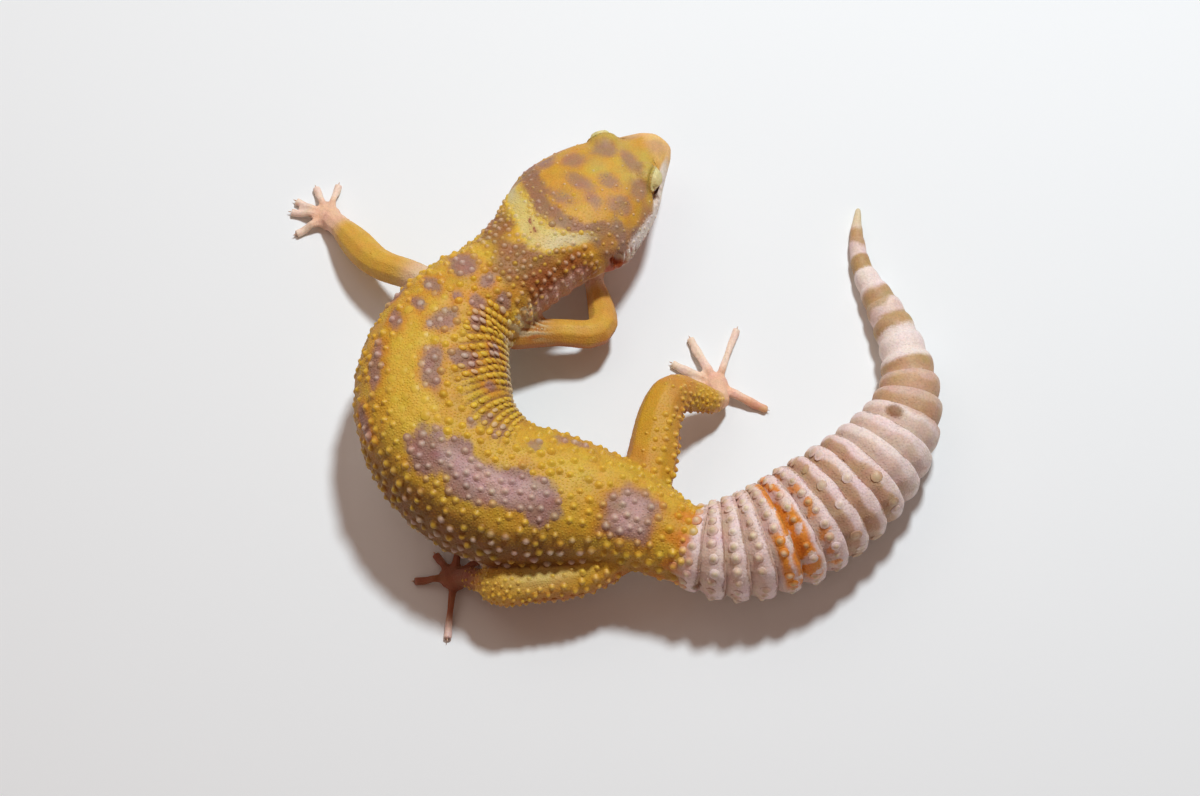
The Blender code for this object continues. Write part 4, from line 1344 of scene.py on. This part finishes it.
trunkWartPlan = {
    "from": 26.5, "to": tailStart + 1.0, "lowest": 112,
    "spacing": 1.55, "neckCloser": 0.55, "uneven": 0.2,
    "wide": 0.52, "neckNarrower": 0.11, "flankWider": 0.18,
    "flatOnStripe": 0.8, "flatOnEdge": 0.35,
}


def neckShare(places):
    return (1 - smooth(places.at, 38, 44)) * smooth(places.at, 24, 28)


def trunkWarts():
    plan = trunkWartPlan
    allowed = ~np.isin(owner, legNodes)
    p = Places(skinPoints)
    allowed &= (p.at > plan["from"]) & (p.at < plan["to"]) & (np.abs(p.round) < plan["lowest"])
    allowed &= foldMask(p) < 0.55
    found = samples(allowed, 1.6)
    p = Places(found["place"])
    onCollar = (np.abs(fromCollar(p)) < 1.5) & (p.round > -45) & (p.round < 85)
    keep = ~onCollar & clearFace(p)
    spacing = plan["spacing"] - plan["neckCloser"] * neckShare(p)
    spacing = spacing + plan["uneven"] * numbers.rand(len(p.at))
    seats = thinned(pick(found, keep), spacing[keep])
    p = Places(seats["place"])
    count = len(p.at)
    flat = 1 - smooth(np.abs(fromStripe(p)), 2.2, 4.2)
    flat = flat * smooth(p.at, 45, 51) * (1 - smooth(p.at, 68, 76))
    neck = neckShare(p)
    mauve = np.maximum(spotMask(p, markings["backSpots"]), spotMask(p, markings["saddle"]))
    mauve = np.maximum(mauve, spotMask(p, markings["greySpots"]))
    mauve = np.maximum(mauve, 0.8 * neck * smooth(numbers.rand(count), 0.2, 0.5))
    whitish = smooth(p.round, 40, 58) * smooth(p.at, 70, 78) * (1 - smooth(p.at, 96, 104))
    mauve = np.maximum(mauve, 1.2 * whitish * (numbers.rand(count) < 0.5))
    low = 1 - smooth(np.abs(p.round), 94, 114)
    flank = smooth(p.round, 42, 60) * smooth(p.at, 64, 74)
    wide = plan["wide"] - plan["neckNarrower"] * neck
    wide = wide * numbers.uniform(0.8, 1.14, count) * (0.6 + 0.4 * low)
    wide *= 1 + plan["flankWider"] * flank
    edge = smooth(np.abs(p.round), 55, 88)
    high = wide * numbers.uniform(0.85, 1.1, count)
    high = high * (1 - plan["flatOnStripe"] * flat) * (0.4 + 0.6 * low)
    high *= 1 - plan["flatOnEdge"] * edge * (1 - flank)
    seats["foot"] = tintOf(seats["place"], seats["owner"])
    hue = wartHue(seats["foot"], 0.62 * mauve, (0.52 - 0.25 * flat) * np.maximum(1 - mauve, 0))
    seats["tint"] = hue * numbers.uniform(0.92, 1.06, count)[:, None]
    seats["size"] = np.c_[wide, wide * 0.95, high]
    seats["run"] = p.ahead
    return seats


headWartPlan = {
    "from": 9.5, "to": 27.0, "lowest": 105, "offEyes": 4.1,
    "spacing": 1.7, "rearCloser": 0.65, "uneven": 0.25,
    "wide": 0.22, "rearWider": 0.12,
}


def headWarts():
    plan = headWartPlan
    p = Places(skinPoints)
    allowed = ~np.isin(owner, legNodes) & (np.abs(p.round) < plan["lowest"])
    allowed &= (p.at > plan["from"]) & (p.at < plan["to"])
    found = samples(allowed, 1.3)
    p = Places(found["place"])
    centre = 1 - smooth(np.abs(p.round), 22, 46)
    front = (1 - smooth(p.at, 21.5, 25)) * centre
    keep = np.abs(fromCollar(p)) > 1.4
    keep &= numbers.rand(len(p.at)) < 1 - 0.95 * front
    keep &= clearFace(p)
    for side in bothSides:
        far = np.linalg.norm(found["place"] - toPlan(eyeCentre(side)), axis=1)
        keep &= far > plan["offEyes"]
    found = pick(found, keep)
    p = Places(found["place"])
    rear = np.clip(smooth(p.at, 17, 23) + smooth(np.abs(p.round), 50, 70), 0, 1)
    spacing = plan["spacing"] - plan["rearCloser"] * rear
    seats = thinned(found, spacing + plan["uneven"] * numbers.rand(len(p.at)))
    p = Places(seats["place"])
    count = len(p.at)
    wide = plan["wide"] + plan["rearWider"] * smooth(p.at, 16, 25) * numbers.rand(count)
    wide = wide + 0.05 * numbers.rand(count)
    seats["foot"] = tintOf(seats["place"], seats["owner"])
    pale = smooth(numbers.rand(count), 0.3, 0.6)
    seats["tint"] = wartHue(seats["foot"], 0.42 * pale, 0.3 * (1 - pale))
    seats["size"] = np.c_[wide, wide, wide * 0.7]
    seats["run"] = p.ahead
    return seats


def castOut(at, around):
    # The place on the skin that lies outwards from the middle of a section.
    middle, place = onBody(at, around)
    start, end = toFrame(middle)[0], toFrame(place)[0]
    way = Vector(end - start).normalized()
    hit, normal, face, _ = skinTree.ray_cast(Vector(start) + way * 30 * mm, -way)
    if hit is not None and owner[skinTriangles[face][0]] in legNodes:
        return None, None, None
    return hit, normal, face


def seatsFrom(hits):
    return {"place": toPlan([h[0] for h in hits]), "normal": np.array([h[1] for h in hits]),
            "owner": np.array([owner[skinTriangles[h[2]][0]] for h in hits]),
            "size": np.array([h[3] for h in hits]), "run": np.array([h[4] for h in hits])}


flankBeadPlan = {
    "from": 39, "to": 102,  # along the spine
    "first": -1.6, "last": -27,  # down the flank
    "girthRadius": 12.3,
    "gap": (1.4, 1.72), "wide": (0.52, 0.64), "long": (0.66, 0.8), "high": 0.62,
    "bare": (64, 69.5),  # the widest folds carry no beads
}


def flankBeads():
    # Rows of beads along the folds of the inner flank.
    plan, step = flankBeadPlan, skinPlan["foldStep"]
    hits = []
    for row in range(int(plan["from"] / step), int(plan["to"] / step) + 1):
        girth = plan["first"] - (row % 2) * 0.7
        at = row * step
        while girth > plan["last"]:
            around = math.degrees(girth / plan["girthRadius"])
            for _ in range(3):
                probe = Places(onBody(at, around)[1])
                at -= (foldPhase(probe)[0] - row) * step * 0.9
            hit, normal, face = castOut(at + random.uniform(-0.1, 0.1), around)
            girth -= random.uniform(*plan["gap"])
            if hit is None:
                continue
            here = Places(toPlan(hit))
            bare = plan["bare"][0] < here.at[0] < plan["bare"][1]
            if foldMask(here)[0] < 0.45 or here.round[0] < -108 or bare:
                continue
            wide = random.uniform(*plan["wide"]) * min(1.0, 0.5 + 0.5 * here.stretch[0])
            size = (random.uniform(*plan["long"]), wide, wide * plan["high"])
            hits.append((hit, normal[:], face, size, np.cross(np.array(normal), here.ahead[0])))
    seats = seatsFrom(hits)
    p = Places(seats["place"])
    mauve = spotMask(p, markings["backSpots"])
    mauve = np.maximum(mauve, 0.8 * (numbers.rand(len(p.at)) < 0.1))
    seats["foot"] = tintOf(seats["place"], seats["owner"])
    hue = wartHue(seats["foot"], 0.7 * mauve, 0.5 * (1 - mauve))
    inner = smooth(-p.round, 62, 84)
    hue = blend(hue, 0.7 * inner, hues["collarPale"])
    seats["tint"] = hue * numbers.uniform(0.94, 1.05, len(p.at))[:, None]
    return seats


tailWartPlan = {
    "rings": 10, "onRing": 0.55, "from": -98.0, "to": 114,
    "gap": (1.7, 2.5), "wide": (0.52, 0.68),
}


def tailBeads():
    # One row of cream warts round each of the first rings.
    plan = tailWartPlan
    hits = []
    for number in range(plan["rings"]):
        at = float(ringEdge(number + plan["onRing"]))
        around = plan["from"] + random.uniform(0, 12)
        radius = float(Places(onBody(at, 0.0)[1]).girthRadius[0])
        while around < plan["to"]:
            hit, normal, face = castOut(at + random.uniform(-0.22, 0.22), around)
            around += math.degrees(random.uniform(*plan["gap"]) / radius)
            late = number > 6
            if hit is None or random.random() < (0.55 if late else 0.03 * number):
                continue
            wide = random.uniform(*plan["wide"]) * (1.05 if late else 1 - 0.025 * number)
            size = (wide, wide, wide * (0.35 if late else 0.8))
            hits.append((hit, normal[:], face, size, Places(toPlan(hit)).ahead[0]))
    seats = seatsFrom(hits)
    count = len(seats["place"])
    seats["foot"] = tintOf(seats["place"], seats["owner"])
    cream = blend(np.tile(hues["wartOlive"], (count, 1)), smooth(numbers.rand(count), 0.3, 0.7),
                  hues["tailCream"])
    late = (ringAt(Places(seats["place"]).at) > 7)[:, None]
    share = np.where(late, 0.35, 0.7)
    seats["tint"] = seats["foot"] * (1 - share) + cream * share
    return seats


legWartPlan = {
    "share": [0, 0.45, 0.62, 0.85],  # of the leg's length
    "spacing": [1.75, 1.3, 0.85, 0.85],
    "wide": [0.55, 0.4, 0.3, 0.3],
    "high": 1.15,
}


def legWarts():
    plan, lists = legWartPlan, []
    for name, leg in legPlan.items():
        if name.startswith("arm"):
            continue
        found = samples(np.isin(owner, leg["nodes"][:2]), 1.2)
        along, around, length = legPlaces(found["place"], leg["line"])
        share = along / length
        rough = around > -25 if name == "leg_right" else around < 30
        keep = (np.abs(around) < 130) & rough & (along > 1.5) & (share < 0.88)
        bare = np.exp(-((share - 0.44) / 0.09) ** 2) * (1 - smooth(np.abs(around), 20, 50))
        keep &= numbers.rand(len(share)) > 1.3 * bare
        spacing = np.interp(share[keep], plan["share"], plan["spacing"])
        seats = thinned(pick(found, keep), spacing)
        along, around, length = legPlaces(seats["place"], leg["line"])
        share = along / length
        count = len(share)
        edge = 1 - smooth(around, -25, 30) if name == "leg_right" else smooth(around, -30, 30)
        wide = np.interp(share, plan["share"], plan["wide"])
        wide = wide * numbers.uniform(0.85, 1.15, count) * (1 - 0.45 * edge)
        seats["foot"] = tintOf(seats["place"], seats["owner"])
        pale = 0.3 * smooth(numbers.rand(count), 0.6, 0.9)
        seats["tint"] = wartHue(seats["foot"], pale, 0.6 * (1 - pale))
        seats["size"] = np.c_[wide, wide, wide * plan["high"]]
        seats["run"] = np.cross(seats["normal"], (0.3, 0.2, 1.0))
        lists.append(seats)
    return joinSeats(*lists)


def granules(chosen, spacing, height, skipped):
    # The fine scales between the warts.
    found = clearOf(samples(chosen, spacing, 5.0), skipped)
    seats = thinned(found, spacing * numbers.uniform(0.86, 1.15, len(found["place"])))
    count = len(seats["place"])
    wide = spacing * numbers.uniform(0.46, 0.58, count)
    seats["tint"] = tintOf(seats["place"], seats["owner"])
    # Painted shade: each granule darkens towards its foot, where it meets the skin.
    seats["foot"] = seats["tint"] * 0.93
    seats["tint"] = seats["tint"] * numbers.uniform(0.95, 1.07, count)[:, None]
    seats["size"] = np.c_[wide, wide * numbers.uniform(0.85, 1.0, count), wide * height]
    seats["run"] = numbers.normal(size=(count, 3))
    return seats


wartMaterial = scaledSkin("round wart scale", 0.25, 0.03, 0.1, 0.42)
granuleMaterial = scaledSkin("fine bead scale", 0.2, 0.02, 0.06, 0.48)

# piece: its seats, the profile of a bead and its sides
wartPieces = {
    "trunk_warts": (trunkWarts(), wartProfile, 9),
    "head_warts": (headWarts(), wartProfile, 8),
    "flank_beads": (flankBeads(), beadProfile, 10),
    "tail_warts": (tailBeads(), wartProfile, 9),
    "leg_warts": (legWarts(), wartProfile, 7),
}
for name, (seats, profile, sides) in wartPieces.items():
    beadPiece(name, seats, profile, sides, wartMaterial)

surface = Places(skinPoints)
onBodySkin = ~np.isin(owner, legNodes)
allWarts = joinSeats(*[seats for seats, _, _ in wartPieces.values()])
nearEye = np.zeros(len(skinPoints), bool)
for side in bothSides:
    far = np.linalg.norm(skinPoints - toPlan(eyeCentre(side)), axis=1)
    distance, x, y = openingDistance(skinCoords, side)
    nearEye |= (far < 3.1) | ((far < 4.4) & (np.hypot(x / 3.6, (y + 0.3) / 1.6) < 1))
hands = np.isin(owner, digitNodes)
toes = hands.copy()
for leg in legPlan.values():
    palm = np.array(leg["line"][-1])
    toes &= np.linalg.norm((skinPoints - palm)[:, :2], axis=1) > 3.0
upper = np.abs(surface.round) < 122


def between(start, end):
    return onBodySkin & (surface.at > start) & (surface.at < end)


granuleZones = {
    # chosen skin, spacing, height
    "head_granules": (between(-np.inf, 27) & ~nearEye, 0.4, 0.16),
    "neck_granules": (between(26.6, 50) & upper, 0.44, 0.34),
    "flank_granules": (between(49.6, 70) & upper, 0.44, 0.34),
    "back_granules": (between(69.6, 90) & upper, 0.44, 0.34),
    "hip_granules": (between(89.6, tailStart + 0.3) & upper, 0.44, 0.34),
    "tail_granules": (between(tailStart, 196) & upper, 0.43, 0.09),
    "belly_scales": (between(26, 196) & ~upper, 0.95, 0.3),
    "leg_granules": (~onBodySkin & ~hands, 0.35, 0.3),
    "palm_granules": (hands & ~toes, 0.33, 0.14),
}
for name, (chosen, spacing, height) in granuleZones.items():
    beadPiece(name, granules(chosen, spacing, height, allWarts), granuleProfile, 6,
              granuleMaterial)

# ---- Claws

clawPlan = {"length": 0.55, "radius": 0.12, "tip": 0.03, "height": 0.72, "overlap": 0.25}


def clawMaterial():
    # Keratin: hard, smooth and horn coloured, with faint streaks.
    material, tree, shader = startMaterial("keratin claw")
    place = addNode(tree, "ShaderNodeTexCoord").outputs["Object"]
    streak = addNode(tree, "ShaderNodeTexNoise", {"Scale": 900.0}, [("Vector", place)])
    tone = addNode(tree, "ShaderNodeMix",
                   {"data_type": "RGBA", "A": opaque("#D9B89C"), "B": opaque("#B98C6C")},
                   [("Factor", streak.outputs["Fac"])])
    tree.links.new(tone.outputs["Result"], shader.inputs["Base Color"])
    setSockets(shader, {"Roughness": 0.3})
    return material


bm = bmesh.new()
for leg in legPlan.values():
    palm = Vector((*leg["line"][-1][:2], 0))
    for heading, length in leg["digits"]:
        turn = math.radians(heading)
        ahead = Vector((math.cos(turn), math.sin(turn), 0))
        root = palm + ahead * (length - clawPlan["overlap"])
        root += Vector((0, 0, clawPlan["height"]))
        made = bmesh.ops.create_cone(bm, cap_ends=True, segments=8, radius1=clawPlan["radius"],
                                     radius2=clawPlan["tip"], depth=clawPlan["length"])["verts"]
        tilt = (ahead + Vector((0, 0, -0.25))).to_track_quat("Z", "Y").to_matrix().to_4x4()
        move = Matrix.Translation(root + ahead * clawPlan["length"] / 2) @ tilt
        bmesh.ops.transform(bm, matrix=move, verts=made)
bmesh.ops.translate(bm, vec=(*bodyPlan["shift"], 0), verts=bm.verts[:])
bmesh.ops.scale(bm, vec=(mm, mm, mm), verts=bm.verts[:])
claws = makeObject("claws", bm, clawMaterial())
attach(claws, "root")
print("claws made")

# ---- Floor, lights and camera

stagePlan = {
    "elevation": 68.0, "distance": 0.5556, "lens": 100.0, "floor": 1.5,
    "lights": {  # place, width, power and colour
        "window": ((0.125, 0.275, 0.575), 0.09, 3.5, "#F5FBFF"),
        "second": ((-0.26, 0.3, 0.5), 0.5, 0.45, "#FFF2E8"),
        "fill": ((-0.5, -0.5, 0.6), 0.8, 0.42, "#FFC0A2"),
    },
}


def paleFloor():
    # A matt white sheet, a touch cool.
    material, _, shader = startMaterial("matt white sheet")
    setSockets(shader, {"Base Color": opaque("#EBF1F3"), "Roughness": 0.75})
    return material


bm = bmesh.new()
bmesh.ops.create_grid(bm, x_segments=1, y_segments=1, size=stagePlan["floor"])
floor = makeObject("floor", bm, paleFloor())

for name, (place, width, power, colour) in stagePlan["lights"].items():
    light = bpy.data.lights.new(name, "AREA")
    light.shape = "DISK"
    light.size = width
    light.energy = power
    light.color = linear(colour)
    lamp = bpy.data.objects.new(name, light)
    lamp.location = place
    lamp.rotation_euler = (-Vector(place)).to_track_quat("-Z", "Y").to_euler()
    bpy.context.scene.collection.objects.link(lamp)
world = bpy.data.worlds.new("studio")
world.use_nodes = True
setSockets(world.node_tree.nodes["Background"], {"Color": opaque("#FFD6C4"), "Strength": 0.2})
bpy.context.scene.world = world
bpy.context.scene.view_settings.view_transform = "Standard"  # colours show as given

camera = bpy.data.cameras.new("camera")
camera.lens = stagePlan["lens"]
camera.sensor_width = 36.0
camera.clip_start = 0.01
eyePoint = bpy.data.objects.new("camera", camera)
tilt = math.radians(stagePlan["elevation"])
eyePoint.location = (
    bodyPlan["shift"][0] * mm,
    bodyPlan["shift"][1] * mm - stagePlan["distance"] * math.cos(tilt),
    stagePlan["distance"] * math.sin(tilt),
)
eyePoint.rotation_euler = (math.pi / 2 - tilt, 0, 0)
bpy.context.scene.collection.objects.link(eyePoint)
bpy.context.scene.camera = eyePoint
print("stage set")
